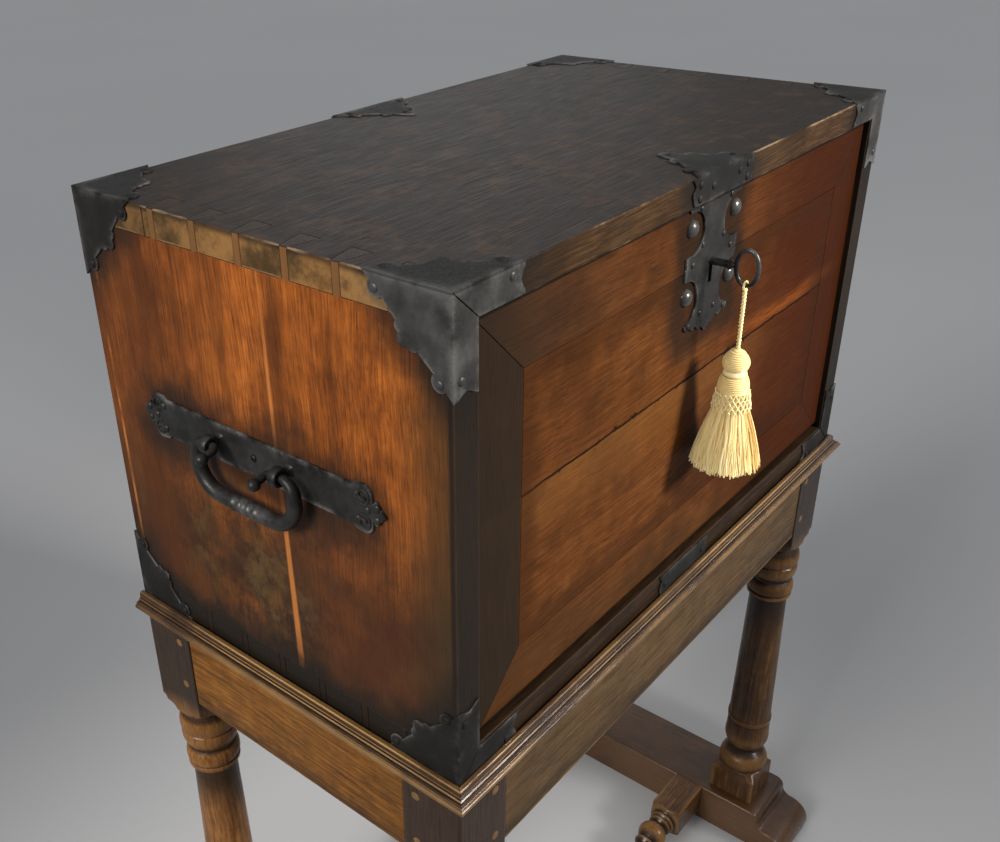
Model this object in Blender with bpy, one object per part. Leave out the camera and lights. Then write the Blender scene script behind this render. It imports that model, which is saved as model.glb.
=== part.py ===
"""Fall-front writing desk: an iron-mounted chest on a turned stand with sledge feet.

Metres, +Z up. The front faces -Y, the floor is z = 0, and the middle of the case stands over the origin.
"""

from math import acos, cos, degrees, hypot, pi, sin, sqrt

import bmesh
import bpy
import numpy as np
from mathutils import Vector, geometry

# Fits
GAP = 0.0003                 # air between pieces that touch
LOOSE = 0.0006               # air round a pin or shaft that turns

# Case
CASE_WIDTH = 0.800
CASE_DEPTH = 0.450
CASE_HEIGHT = 0.465
TOP_THICK = 0.028
SIDE_THICK = 0.030
BOTTOM_THICK = 0.030
BACK_THICK = 0.016
TAIL_COUNT = 8
PIN_OUTER = 0.008            # width of a dovetail pin at the outer face of a side
PIN_INNER = 0.022            # and at its inner face

# Fall front
FALL_THICK = 0.026
FALL_RECESS = 0.006          # its face lies this far behind the case's front edges
FALL_SIDE_PLAY = 0.0015
FALL_TOP_PLAY = 0.0025
FALL_FOOT_PLAY = 0.0005
FALL_FRAME = 0.063           # width of the mitred stiles and rails
FIELD_JOINT = 0.253          # height of the joint between the two field boards over the case's foot
PIVOT_INSET = 0.010          # pivot axis behind the fall's face and above its lower edge
PIVOT_RADIUS = 0.0035
PIVOT_IN_FALL = 0.022
PIVOT_IN_SIDE = 0.018

# Lock, bolt and key
LOCK_PLATE_THICK = 0.002
LOCK_PLATE_HALF = 0.0505     # half width of the lock plate at its head
LOCK_PLATE_HIGH = 0.1242     # from its head to its foot, without the pointed tip
UPPER_BITE_X = 0.042         # round bites in the plate's sides: middle, drop from the head, radius
UPPER_BITE_DROP = 0.0252
UPPER_BITE = 0.022
LOWER_BITE_X = 0.047
LOWER_BITE_DROP = 0.0942
LOWER_BITE = 0.024
CUSP_X = 0.055               # the small notch between the two bites of a side
CUSP_DROP = 0.0562
CUSP = 0.0055
LOCK_FOOT_HALF = 0.040       # half width of the scalloped foot
LOCK_TIP = 0.0115            # drop of the pointed tip below the foot
KEY_DROP = 0.0620            # key axis below the fall's upper edge
KEY_SHAFT = 0.0038
KEY_REACH = 0.0375           # middle of the bow in front of the lock plate
BOW_HIGH = 0.0175            # half height of the oval bow, to the middle of its wire
BOW_DEEP = 0.0114            # half depth of the bow along the shaft
BOW_WIRE = 0.0022
BIT_LENGTH = 0.0180
BIT_THICK = 0.0055
BIT_DEEP = 0.0068
LOCK_CASE_WIDTH = 0.084
LOCK_CASE_HEIGHT = 0.092
LOCK_CASE_DEEP = 0.022
LOCK_CASE_DROP = 0.005       # top of the lock case below the fall's upper edge
BOLT_WIDTH = 0.026
BOLT_THICK = 0.0055
BOLT_LENGTH = 0.064
BOLT_SETBACK = 0.0125        # bolt behind the fall's inner face
BOLT_THROW = 0.012
BOLT_SINK = 0.0012           # drawn bolt below the fall's upper edge

# Tassel on the key's bow
CORD_RADIUS = 0.0023
CORD_LENGTH = 0.063
TASSEL_HEAD_RADIUS = 0.0130
TASSEL_COLLAR_RADIUS = 0.0168
TASSEL_HEAD_LENGTH = 0.046
TASSEL_SKIRT_RADIUS = 0.033
TASSEL_SKIRT_LENGTH = 0.082

# Ironwork
SHEET = 0.0015
LEAF = 0.085                 # length of a corner mount's leaf along an edge
EDGE_MARGIN = 0.002          # wood left bare beside an edge strip
STRAP_HALF = 0.062
STRAP_DEEP = 0.070           # reach of a strap's pointed leaf
PLATE_THICK = 0.0025
PLATE_HALF = 0.128           # half length of the straight part of a handle plate
PLATE_RISE = 0.020           # half height of a handle plate
PLATE_TIP = 0.160            # half length over the tips
HANDLE_HEIGHT = 0.255        # handle plate's middle over the case's foot
HANDLE_BACK = 0.005          # handle's middle behind the case's middle
EYE_RISE = 0.004             # bail axis over the plate's middle
EYE_HALF = 0.046             # half distance between the two eyes
EYE_WIDTH = 0.010
EYE_WALL = 0.0046
EYE_SHANK = 0.007
EYE_DEPTH = 0.014            # shank's length in the side board
BAIL_OUT = 0.016             # bail axis in front of the case's side
BAIL_HALF = 0.065
BAIL_DROP = 0.050
BAIL_BAR = 0.0065
BAIL_NECK = 0.0042
BAIL_BALL = 0.0052
BAIL_HOOK = 0.0175           # ball's middle out from the bail axis

# Pigeonholes
NEST_SETBACK = 0.043         # front of the shelf behind the fall's inner face
SHELF_THICK = 0.012
SHELF_HEIGHT = 0.243         # underside of the shelf over the case's foot
DIVIDER_THICK = 0.010
UPPER_HOLES = 4
LOWER_HOLES = 3
DIVIDER_SWEEP = 0.080        # how far a divider's front edge curves back at its head

# Stand
STAND_HEIGHT = 0.713
POST = 0.070
POST_LENGTH = 0.145
APRON_HEIGHT = 0.125
APRON_THICK = 0.028
APRON_RECESS = 0.001
TENON_THICK = 0.010
TENON_LENGTH = 0.030
TENON_SHOULDER = 0.018
FRAME_MARGIN = 0.0024        # the stand's frame stands proud of the case's faces
LIP = 0.005                  # moulding's rise over the frame, round the foot of the case
FOOT_HEIGHT = 0.070
FOOT_WIDTH = 0.102
FOOT_LENGTH = 0.590
LEG_BLOCK = 0.041            # square block over the foot, to its shoulder's corners
LEG_TENON = 0.034
LEG_TENON_LENGTH = 0.030
STRETCHER = 0.048
STRETCHER_BLOCK = 0.070
STRETCHER_SETBACK = 0.0645   # stretcher's middle behind the leg's middle
STRETCHER_TENON = 0.024
STRETCHER_TENON_LENGTH = 0.025

LEG_SEGMENTS = 14
STRETCHER_SEGMENTS = 10

# Places worked out from the sizes
HALF_W = CASE_WIDTH / 2
HALF_D = CASE_DEPTH / 2
CASE_FOOT = STAND_HEIGHT
CASE_HEAD = CASE_FOOT + CASE_HEIGHT
INNER_HALF_W = HALF_W - SIDE_THICK
FLOOR_BOARD = CASE_FOOT + BOTTOM_THICK
CEILING = CASE_HEAD - TOP_THICK
BACK_FACE = HALF_D - BACK_THICK
FRAME_HALF_W = HALF_W + FRAME_MARGIN
FRAME_HALF_D = HALF_D + FRAME_MARGIN
LEG_X = FRAME_HALF_W - POST / 2
LEG_Y = FRAME_HALF_D - POST / 2

FALL_HALF_W = INNER_HALF_W - FALL_SIDE_PLAY
FALL_FOOT = FLOOR_BOARD + FALL_FOOT_PLAY
FALL_HEAD = CEILING - FALL_TOP_PLAY
FALL_FACE = -HALF_D + FALL_RECESS
FALL_BACK = FALL_FACE + FALL_THICK
PIVOT_Y = FALL_FACE + PIVOT_INSET
PIVOT_Z = FALL_FOOT + PIVOT_INSET

PLATE_FACE = FALL_FACE - GAP - LOCK_PLATE_THICK
KEY_Z = FALL_HEAD - KEY_DROP
BOW_Y = PLATE_FACE - KEY_REACH
BOW_FOOT = KEY_Z - BOW_HIGH - BOW_WIRE
TASSEL_BACK = 0.28 * (BOW_HIGH - BOW_DEEP)   # the tassel swings about a point off the oval bow's middle,
TASSEL_DOWN = 0.72 * (BOW_HIGH - BOW_DEEP)   # so that its cord keeps close to the wire as the fall opens
CORD_HEAD = BOW_FOOT - LOOSE
KEYHOLE_RADIUS = KEY_SHAFT + LOOSE
KEYHOLE_SLOT = BIT_THICK + 2 * LOOSE
BIT_REACH = KEY_SHAFT + BIT_LENGTH

HANDLE_Z = CASE_FOOT + HANDLE_HEIGHT
EYE_Z = HANDLE_Z + EYE_RISE
EYE_BORE = BAIL_NECK + LOOSE
NEST_FRONT = FALL_BACK + NEST_SETBACK
SHELF_Z = CASE_FOOT + SHELF_HEIGHT


# Bodies and finishes

def clear_scene():
    for item in list(bpy.data.objects):
        bpy.data.objects.remove(item, do_unlink=True)


def make_body(name, place=(0.0, 0.0, 0.0), parent=None):
    """An empty on a joint's axis, which carries the pieces of one moving body."""
    empty = bpy.data.objects.new(name, None)
    empty.empty_display_size = 0.03
    bpy.context.scene.collection.objects.link(empty)
    empty["place"] = list(place)
    empty.parent = parent
    base = Vector(parent["place"]) if parent else Vector()
    empty.location = Vector(place) - base
    return empty


def make_finish(name, colour, roughness, metallic=0.0):
    material = bpy.data.materials.new(name)
    material.use_nodes = True
    shader = material.node_tree.nodes["Principled BSDF"]
    shader.inputs["Base Color"].default_value = (*colour, 1.0)
    shader.inputs["Roughness"].default_value = roughness
    shader.inputs["Metallic"].default_value = metallic
    return material


clear_scene()
FRAME = make_body("stand_and_case")
FALL = make_body("fall_axis", (0.0, PIVOT_Y, PIVOT_Z), FRAME)
BOLT = make_body("bolt_axis", (0.0, FALL_BACK + BOLT_SETBACK, FALL_HEAD), FALL)
KEY = make_body("key_axis", (0.0, BOW_Y, KEY_Z), FALL)
TASSEL = make_body("tassel_axis", (0.0, BOW_Y + TASSEL_BACK, KEY_Z - TASSEL_DOWN), FALL)
BAILS = {side: make_body(f"bail_axis_{side}", (sign * (HALF_W + BAIL_OUT), HANDLE_BACK, EYE_Z), FRAME)
         for side, sign in (("left", -1), ("right", 1))}

WALNUT = make_finish("case_walnut", (0.20, 0.075, 0.028), 0.42)
DARK_WALNUT = make_finish("case_dark_walnut", (0.055, 0.034, 0.024), 0.45)
NEST_WOOD = make_finish("nest_walnut", (0.24, 0.12, 0.05), 0.5)
STAND_WOOD = make_finish("stand_oak", (0.13, 0.065, 0.030), 0.38)
IRON = make_finish("forged_iron", (0.045, 0.045, 0.047), 0.42, 1.0)
THREAD = make_finish("tassel_thread", (0.72, 0.56, 0.28), 0.6)


# Shapes: each is a list of points and a list of faces

def box(low, high):
    (a, b, c), (d, e, f) = low, high
    points = [(a, b, c), (d, b, c), (d, e, c), (a, e, c), (a, b, f), (d, b, f), (d, e, f), (a, e, f)]
    faces = [(0, 3, 2, 1), (4, 5, 6, 7), (0, 1, 5, 4), (1, 2, 6, 5), (2, 3, 7, 6), (3, 0, 4, 7)]
    return points, faces


def loft(rings):
    """Rings of equal length joined in order, with the first and the last filled."""
    count = len(rings[0])
    points = [point for ring in rings for point in ring]
    faces = [tuple(range(count)), tuple(range(len(points) - count, len(points)))]
    for start in range(0, len(points) - count, count):
        for i in range(count):
            j = (i + 1) % count
            faces.append((start + i, start + j, start + count + j, start + count + i))
    return points, faces


def prism(outline, axis, low, high):
    """An outline carried along an axis. Outlines are (x, y), (x, z) or (y, z) for the axes z, y and x."""
    place = {"z": lambda u, v, w: (u, v, w), "y": lambda u, v, w: (u, w, v), "x": lambda u, v, w: (w, u, v)}
    return loft([[place[axis](u, v, w) for u, v in outline] for w in (low, high)])


def turned(profile, centre, axis, segments):
    """A profile of (radius, distance along the axis) turned about the axis through the centre."""
    angles = np.arange(segments) * 2 * pi / segments + pi / segments
    rings = []
    for radius, along in profile:
        ring = []
        for a in angles:
            u = radius * cos(a)
            v = radius * sin(a)
            offset = {"x": (along, u, v), "y": (u, along, v), "z": (u, v, along)}[axis]
            ring.append(tuple(c + o for c, o in zip(centre, offset)))
        rings.append(ring)
    return loft(rings)


def swept(path, radii, sides):
    """A round bar along a path, with a radius at each point; its rings turn as little as they can."""
    path = np.array(path)
    tangents = np.gradient(path, axis=0)
    tangents /= np.linalg.norm(tangents, axis=1, keepdims=True)
    normal = np.cross(tangents[0], (0.0, 1.0, 0.0))
    rings = []
    for point, tangent, radius in zip(path, tangents, radii):
        normal = normal - tangent * np.dot(normal, tangent)
        normal /= np.linalg.norm(normal)
        across = np.cross(tangent, normal)
        rings.append([tuple(point + radius * (cos(a) * normal + sin(a) * across))
                      for a in np.arange(sides) * 2 * pi / sides])
    return loft(rings)


def joined(*shapes):
    """Several separate shapes in one mesh, for cutters."""
    points = []
    faces = []
    for shape_points, shape_faces in shapes:
        start = len(points)
        points += shape_points
        faces += [tuple(start + i for i in face) for face in shape_faces]
    return points, faces


def arc(cx, cy, radius, start, end, steps):
    """Points on a circle from one angle to another, in degrees."""
    angles = np.radians(np.linspace(start, end, steps + 1))
    return [(cx + radius * cos(a), cy + radius * sin(a)) for a in angles]


def mirrored(half):
    """An outline from its right half, listed from the top to the foot."""
    return half + [(-u, v) for u, v in reversed(half) if abs(u) > 1e-9]


def turning(radius, height, members, steps=3):
    """A turner's profile: each member drops by a height to a new radius, swelling out or hollowed in."""
    profile = [(radius, height)]
    for drop, end, swell in members:
        count = steps if swell else 1
        for t in np.linspace(0, 1, count + 1)[1:]:
            profile.append((radius + (end - radius) * t + swell * sin(pi * t), height - drop * t))
        radius = end
        height -= drop
    return profile


# Objects

def place_mesh(name, shape, body):
    points, faces = shape
    mesh = bpy.data.meshes.new(name)
    origin = Vector(body["place"])
    mesh.from_pydata([Vector(p) - origin for p in points], [], faces)
    work = bmesh.new()
    work.from_mesh(mesh)
    bmesh.ops.recalc_face_normals(work, faces=work.faces)
    work.to_mesh(mesh)
    work.free()
    item = bpy.data.objects.new(name, mesh)
    item.parent = body
    bpy.context.scene.collection.objects.link(item)
    return item


def piece(name, shape, finish, body=FRAME, smooth=False):
    item = place_mesh(name, shape, body)
    item.data.materials.append(finish)
    if smooth:
        item.data.shade_smooth()
        item.data.set_sharp_from_angle(angle=0.7)
    return item


def shape_with(item, operation, shape):
    """Cut, join or trim an object by a shape that stays hidden."""
    cutter = place_mesh(f"{item.name}_{operation.lower()}_{len(item.modifiers)}", shape, FRAME)
    cutter.hide_render = True
    cutter.display_type = "WIRE"
    modifier = item.modifiers.new(operation.lower(), "BOOLEAN")
    modifier.operation = operation
    modifier.object = cutter
    modifier.solver = "EXACT"
    return item


SIDES = (("left", -1), ("right", 1))
ENDS = (("front", -1), ("back", 1))


# Case: top and bottom are dovetailed through the sides, and the back is set in between them

def tail_edges(grow):
    """The two flanks of each tail as (outer, inner) distances along the depth, widened by grow."""
    pitch = CASE_DEPTH / TAIL_COUNT
    for i in range(TAIL_COUNT):
        start = -HALF_D + i * pitch
        end = start + pitch
        yield ((start + PIN_OUTER / 2 - grow, start + PIN_INNER / 2 - grow),
               (end - PIN_OUTER / 2 + grow, end - PIN_INNER / 2 + grow))


def tailed_board_outline():
    """Plan of a board with a row of tails on both ends, between shoulders at the sides' inner faces."""
    shoulder = INNER_HALF_W - GAP
    right = [(shoulder, -HALF_D)]
    for (low_out, low_in), (high_out, high_in) in tail_edges(-GAP / 2):
        right += [(shoulder, low_in), (HALF_W, low_out), (HALF_W, high_out), (shoulder, high_in)]
    right.append((shoulder, HALF_D))
    return right + [(-x, y) for x, y in reversed(right)]


def tail_sockets(sign, low, high):
    """Room in one side board for the tails of a board that lies between two heights."""
    inner = INNER_HALF_W - 2 * GAP
    outer = HALF_W + 2 * GAP
    slope = (PIN_INNER - PIN_OUTER) / (2 * SIDE_THICK) * 2 * GAP
    sockets = []
    for (low_out, low_in), (high_out, high_in) in tail_edges(GAP / 2):
        plan = [(inner, low_in + slope), (outer, low_out - slope),
                (outer, high_out + slope), (inner, high_in - slope)]
        sockets.append(prism([(sign * x, y) for x, y in plan], "z", low, high))
    return joined(*sockets)


def build_case():
    outline = tailed_board_outline()
    top = piece("case_top", prism(outline, "z", CEILING, CASE_HEAD), DARK_WALNUT)
    bolt_y = FALL_BACK + BOLT_SETBACK
    shape_with(top, "DIFFERENCE", box(
        (-BOLT_WIDTH / 2 - LOOSE, bolt_y - LOOSE, CEILING - LOOSE),
        (BOLT_WIDTH / 2 + LOOSE, bolt_y + BOLT_THICK + LOOSE, FALL_HEAD - BOLT_SINK + BOLT_THROW + LOOSE)))
    piece("case_bottom", prism(outline, "z", CASE_FOOT, FLOOR_BOARD), WALNUT)
    piece("case_back", box(
        (-INNER_HALF_W + GAP, BACK_FACE, FLOOR_BOARD + GAP),
        (INNER_HALF_W - GAP, HALF_D, CEILING - GAP)), WALNUT)
    for side, sign in SIDES:
        inner, outer = sorted((sign * INNER_HALF_W, sign * HALF_W))
        board = piece(f"case_side_{side}", box((inner, -HALF_D, CASE_FOOT), (outer, HALF_D, CASE_HEAD)), WALNUT)
        shape_with(board, "DIFFERENCE", tail_sockets(sign, CEILING - GAP, CASE_HEAD + TOP_THICK))
        shape_with(board, "DIFFERENCE", tail_sockets(sign, CASE_FOOT - BOTTOM_THICK, FLOOR_BOARD + GAP))
        bores = [pivot_shape(sign, LOOSE / 2)]
        bores += [eye_shank(sign, end, GAP) for end in (-1, 1)]
        shape_with(board, "DIFFERENCE", joined(*bores))


# Fall front: a mitred frame round two field boards, turning on a pin at each lower corner

def pivot_shape(sign, grow):
    """A pivot pin, or the bore for it, through the joint between the fall's corner and the case's side."""
    inner = INNER_HALF_W - FALL_SIDE_PLAY - PIVOT_IN_FALL - grow
    outer = INNER_HALF_W + PIVOT_IN_SIDE + grow
    radius = PIVOT_RADIUS + grow
    return turned([(radius, sign * outer), (radius, sign * inner)], (0, PIVOT_Y, PIVOT_Z), "x", 16)


def keyhole(front, back):
    """A round hole for the key's shaft with a slot for its bit below."""
    slot = KEYHOLE_SLOT / 2
    corner = degrees(acos(slot / KEYHOLE_RADIUS))
    foot = KEY_Z - BIT_REACH - LOOSE
    rim = arc(0, KEY_Z, KEYHOLE_RADIUS, -corner, 180 + corner, 10)
    return prism(rim + [(-slot, foot), (slot, foot)], "y", front, back)


def inset(outline, distance):
    """A convex outline, listed anticlockwise, with every edge moved in."""
    lines = []
    for (ax, ay), (bx, by) in zip(outline, outline[1:] + outline[:1]):
        length = hypot(bx - ax, by - ay)
        nx = -(by - ay) / length
        ny = (bx - ax) / length
        lines.append((nx, ny, nx * ax + ny * ay + distance))
    corners = []
    for (a, b, e), (c, d, f) in zip(lines[-1:] + lines[:-1], lines):
        scale = a * d - b * c
        corners.append(((e * d - b * f) / scale, (a * f - e * c) / scale))
    return corners


def fall_member(name, outline, finish):
    return piece(name, prism(inset(outline, GAP / 2), "y", FALL_FACE, FALL_BACK), finish, FALL)


def build_fall():
    w = FALL_HALF_W
    u = w - FALL_FRAME
    low = FALL_FOOT + FALL_FRAME
    high = FALL_HEAD - FALL_FRAME
    joint = CASE_FOOT + FIELD_JOINT
    stile_left = fall_member(
        "fall_stile_left", [(-w, FALL_FOOT), (-u, low), (-u, high), (-w, FALL_HEAD)], DARK_WALNUT)
    stile_right = fall_member(
        "fall_stile_right", [(w, FALL_FOOT), (w, FALL_HEAD), (u, high), (u, low)], DARK_WALNUT)
    rail_top = fall_member(
        "fall_rail_top", [(-u, high), (u, high), (w, FALL_HEAD), (-w, FALL_HEAD)], DARK_WALNUT)
    rail_bottom = fall_member(
        "fall_rail_bottom", [(-w, FALL_FOOT), (w, FALL_FOOT), (u, low), (-u, low)], DARK_WALNUT)
    fall_member("fall_board_lower", [(-u, low), (u, low), (u, joint), (-u, joint)], WALNUT)
    board_upper = fall_member("fall_board_upper", [(-u, joint), (u, joint), (u, high), (-u, high)], WALNUT)

    # The lower front edge is rounded about the pivot, so the fall clears the case's bottom as it turns
    rounding = arc(PIVOT_Y, PIVOT_Z, PIVOT_INSET, 270, 180, 6)
    blank = rounding + [(FALL_FACE, FALL_HEAD), (FALL_BACK, FALL_HEAD), (FALL_BACK, FALL_FOOT)]
    for member in (stile_left, stile_right, rail_bottom):
        shape_with(member, "INTERSECT", prism(blank, "x", -HALF_W, HALF_W))
        shape_with(member, "DIFFERENCE", joined(pivot_shape(-1, LOOSE / 2), pivot_shape(1, LOOSE / 2)))
    for member in (rail_top, board_upper):
        shape_with(member, "DIFFERENCE", keyhole(FALL_FACE - LOOSE, FALL_BACK + LOOSE))
    for side, sign in SIDES:
        piece(f"fall_pivot_{side}", pivot_shape(sign, 0), IRON, smooth=True)


# Lock: a cut plate outside, a lock case inside, a bolt that rises into the top, and a key with a ring bow

def lock_plate_outline():
    """A plate along the fall's upper edge with two bites a side, cusps between them and a flared foot."""
    head = FALL_HEAD - GAP
    cusp = head - CUSP_DROP
    chamfer = LOCK_PLATE_HALF / 20
    half = [(0, head), (LOCK_PLATE_HALF - chamfer, head), (LOCK_PLATE_HALF, head - chamfer)]
    half += arc(UPPER_BITE_X, head - UPPER_BITE_DROP, UPPER_BITE, 75, 285, 9)
    half += [(0.98 * CUSP_X, cusp + 1.6 * CUSP)]
    half += arc(CUSP_X, cusp, CUSP, 115, 245, 4)
    half += [(0.98 * CUSP_X, cusp - 1.6 * CUSP)]
    half += arc(LOWER_BITE_X, head - LOWER_BITE_DROP, LOWER_BITE, 80, 256, 8)
    foot = head - LOCK_PLATE_HIGH
    scallops = ((1.09, -0.35), (1.0, 0), (0.85, -0.26), (0.7, 0.26), (0.52, 0), (0.35, 0.52), (0.2, 0.35), (0, 1))
    half += [(LOCK_FOOT_HALF * out, foot - LOCK_TIP * down) for out, down in scallops]
    return mirrored(half)


def build_lock():
    plate = piece("lock_plate", prism(lock_plate_outline(), "y", PLATE_FACE, FALL_FACE - GAP), IRON, FALL)
    shape_with(plate, "DIFFERENCE", keyhole(PLATE_FACE - LOOSE, FALL_FACE + LOOSE))

    case_front = FALL_BACK + GAP
    case_head = FALL_HEAD - LOCK_CASE_DROP
    bolt_front = FALL_BACK + BOLT_SETBACK
    bolt_head = FALL_HEAD - BOLT_SINK
    half = LOCK_CASE_WIDTH / 2
    case = piece("lock_case", box(
        (-half, case_front, case_head - LOCK_CASE_HEIGHT),
        (half, case_front + LOCK_CASE_DEEP, case_head)), IRON, FALL)
    room = BIT_REACH + LOOSE
    bit_room = FALL_BACK + 2 * LOOSE + BIT_DEEP + LOOSE
    shape_with(case, "DIFFERENCE", turned(
        [(room, bit_room), (room, FALL_BACK - LOOSE)], (0, 0, KEY_Z), "y", 24))
    shape_with(case, "DIFFERENCE", box(
        (-BOLT_WIDTH / 2 - GAP, bolt_front - GAP, bolt_head - BOLT_LENGTH - LOOSE),
        (BOLT_WIDTH / 2 + GAP, bolt_front + BOLT_THICK + GAP, case_head + LOOSE)))
    chamfer = BOLT_THICK / 3
    bolt_outline = [(bolt_front, bolt_head - BOLT_LENGTH), (bolt_front + BOLT_THICK, bolt_head - BOLT_LENGTH),
                    (bolt_front + BOLT_THICK, bolt_head - chamfer),
                    (bolt_front + BOLT_THICK - chamfer, bolt_head), (bolt_front + chamfer, bolt_head),
                    (bolt_front, bolt_head - chamfer)]
    piece("lock_bolt", prism(bolt_outline, "x", -BOLT_WIDTH / 2, BOLT_WIDTH / 2), IRON, BOLT)

    # The shaft ends inside the bow's wire, and the bit hangs below the shaft in the lock case
    collar = KEY_SHAFT * 1.4
    bit_front = FALL_BACK + 2 * LOOSE
    shaft_end = bit_front + BIT_DEEP
    shaft_start = BOW_Y + BOW_DEEP
    key = piece("key", turned([
        (KEY_SHAFT, shaft_end), (KEY_SHAFT, shaft_start + 0.009), (collar, shaft_start + 0.0075),
        (collar, shaft_start + 0.005), (KEY_SHAFT, shaft_start + 0.0035), (BOW_WIRE * 0.9, shaft_start)],
        (0, 0, KEY_Z), "y", 10), IRON, KEY, smooth=True)
    shape_with(key, "UNION", box(
        (-BIT_THICK / 2, bit_front, KEY_Z - BIT_REACH), (BIT_THICK / 2, shaft_end - GAP, KEY_Z)))
    shape_with(key, "UNION", bow_shape(18, 6))


def bow_shape(around, sides):
    """An oval ring of round wire that stands in the plane of x, taller than it is deep."""
    points = []
    faces = []
    for i in range(around):
        a = 2 * pi * (i + 0.5) / around
        for j in range(sides):
            b = 2 * pi * j / sides
            reach = BOW_WIRE * cos(b)
            points.append((BOW_WIRE * sin(b), BOW_Y + (BOW_DEEP + reach) * cos(a),
                           KEY_Z + (BOW_HIGH + reach) * sin(a)))
            faces.append((i * sides + j, i * sides + (j + 1) % sides,
                          (i + 1) % around * sides + (j + 1) % sides, (i + 1) % around * sides + j))
    return points, faces


def build_tassel():
    """A twisted cord under the bow, a wound head and a fringed skirt, as plain solids."""
    head_top = CORD_HEAD - CORD_LENGTH
    curve = bpy.data.curves.new("tassel_cord", "CURVE")
    curve.dimensions = "3D"
    curve.bevel_depth = CORD_RADIUS
    curve.bevel_resolution = 2
    curve.use_fill_caps = True
    spline = curve.splines.new("POLY")
    heights = np.linspace(CORD_HEAD, head_top + GAP, 7)
    spline.points.add(len(heights) - 1)
    for point, height in zip(spline.points, heights):
        point.co = (0.0, -TASSEL_BACK, height - TASSEL["place"][2], 1.0)
    cord = bpy.data.objects.new("tassel_cord", curve)
    cord.data.materials.append(THREAD)
    cord.parent = TASSEL
    bpy.context.scene.collection.objects.link(cord)

    ball = TASSEL_HEAD_RADIUS
    collar = TASSEL_COLLAR_RADIUS
    part = TASSEL_HEAD_LENGTH / 10
    head = turning(CORD_RADIUS, head_top, [
        (0.6 * part, 0.55 * ball, 0), (4.4 * part, 0.8 * ball, 0.34 * ball), (0.8 * part, 0.88 * ball, 0),
        (4.2 * part, collar, 0.14 * ball)])
    piece("tassel_head", turned(head, (0, BOW_Y, 0), "z", 14), THREAD, TASSEL, smooth=True)
    skirt = turning(collar * 1.08, head_top - TASSEL_HEAD_LENGTH - GAP, [
        (0.22 * TASSEL_SKIRT_LENGTH, 1.18 * collar, 0), (0.5 * TASSEL_SKIRT_LENGTH, 1.66 * collar, 0.05 * collar),
        (0.28 * TASSEL_SKIRT_LENGTH, TASSEL_SKIRT_RADIUS, 0)])
    piece("tassel_skirt", turned(skirt, (0, BOW_Y, 0), "z", 16), THREAD, TASSEL, smooth=True)


# Sheet iron: folded corner mounts and edge straps, each one leaf of sheet bent round the case's edges

LOBE_STEPS = 3


def lobed_edge(start, end, lobes):
    """A straight edge from start to end with round lobes (distance, lift, radius, first and last angle)."""
    (ax, ay), (bx, by) = start, end
    length = hypot(bx - ax, by - ay)
    dx, dy = (bx - ax) / length, (by - ay) / length
    points = []
    for distance, lift, radius, first, last in lobes:
        for s, h in arc(distance * length, lift, radius, first, last, LOBE_STEPS):
            points.append((ax + s * dx + h * dy, ay + s * dy - h * dx))
    return points


def leaf_edge(first, second):
    """The cut edge of a corner leaf: a nail lobe near each end and a trefoil in the middle."""
    nail = LEAF * 0.095
    petal = LEAF * 0.06
    spread = LEAF * 0.105 / hypot(LEAF, LEAF)
    return lobed_edge(first, second, [
        (0.15, -0.2 * nail, nail, 180, 0), (0.5 - spread, 0, petal, 180, 70),
        (0.5, 0.8 * petal, 1.25 * petal, 165, 15), (0.5 + spread, 0, petal, 110, 0),
        (0.85, -0.2 * nail, nail, 180, 0)])


def folded_sheet(name, corner, signs, leaves):
    """Leaves of sheet that share fold lines at a corner. Each leaf is a plane's two axes and an outline."""
    points = []
    faces = []
    index = {}
    for (u_axis, v_axis), outline in leaves:
        face = []
        for u, v in outline:
            place = [0.0, 0.0, 0.0]
            place[u_axis] = u
            place[v_axis] = v
            key = tuple(round(c, 7) for c in place)
            if key not in index:
                index[key] = len(points)
                points.append(tuple(c + s * p for c, s, p in zip(corner, signs, place)))
            face.append(index[key])
        outward = Vector()
        outward[3 - u_axis - v_axis] = -signs[3 - u_axis - v_axis]
        normal = geometry.normal([Vector(points[i]) for i in face])
        faces.append(face if normal.dot(outward) > 0 else face[::-1])
    mesh = bpy.data.meshes.new(name)
    mesh.from_pydata(points, [], faces)
    mesh.materials.append(IRON)
    item = bpy.data.objects.new(name, mesh)
    item.parent = FRAME
    bpy.context.scene.collection.objects.link(item)
    thick = item.modifiers.new("sheet", "SOLIDIFY")
    thick.thickness = SHEET
    thick.offset = 1.0
    thick.use_even_offset = True
    thick.use_quality_normals = True
    return item


def build_corner_mounts():
    """Front mounts run along the narrow edges round the fall; the back ones have three cut leaves."""
    x, y, z = 0, 1, 2
    diagonal = [(0, 0), (LEAF, 0)] + leaf_edge((LEAF, 0), (0, LEAF)) + [(0, LEAF)]
    for level in ("top", "bottom"):
        rail = (TOP_THICK if level == "top" else BOTTOM_THICK) - EDGE_MARGIN
        stile = SIDE_THICK - EDGE_MARGIN
        taper = EDGE_MARGIN * 3
        edge_strips = [(0, 0), (LEAF, 0), (LEAF - taper, rail * 0.55), (LEAF - taper, rail), (stile, rail),
                       (stile, LEAF - taper), (stile * 0.55, LEAF - taper), (0, LEAF)]
        for side, sx in SIDES:
            for end, sy in ENDS:
                leaves = [((y, z), diagonal), ((x, z), edge_strips if end == "front" else diagonal)]
                height = CASE_FOOT
                if level == "top":
                    leaves.append(((x, y), diagonal))
                    height = CASE_HEAD + GAP
                corner = (sx * (HALF_W + GAP), sy * (HALF_D + GAP), height)
                folded_sheet(f"corner_{level}_{end}_{side}", corner,
                             (-sx, -sy, -1 if level == "top" else 1), leaves)


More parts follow.
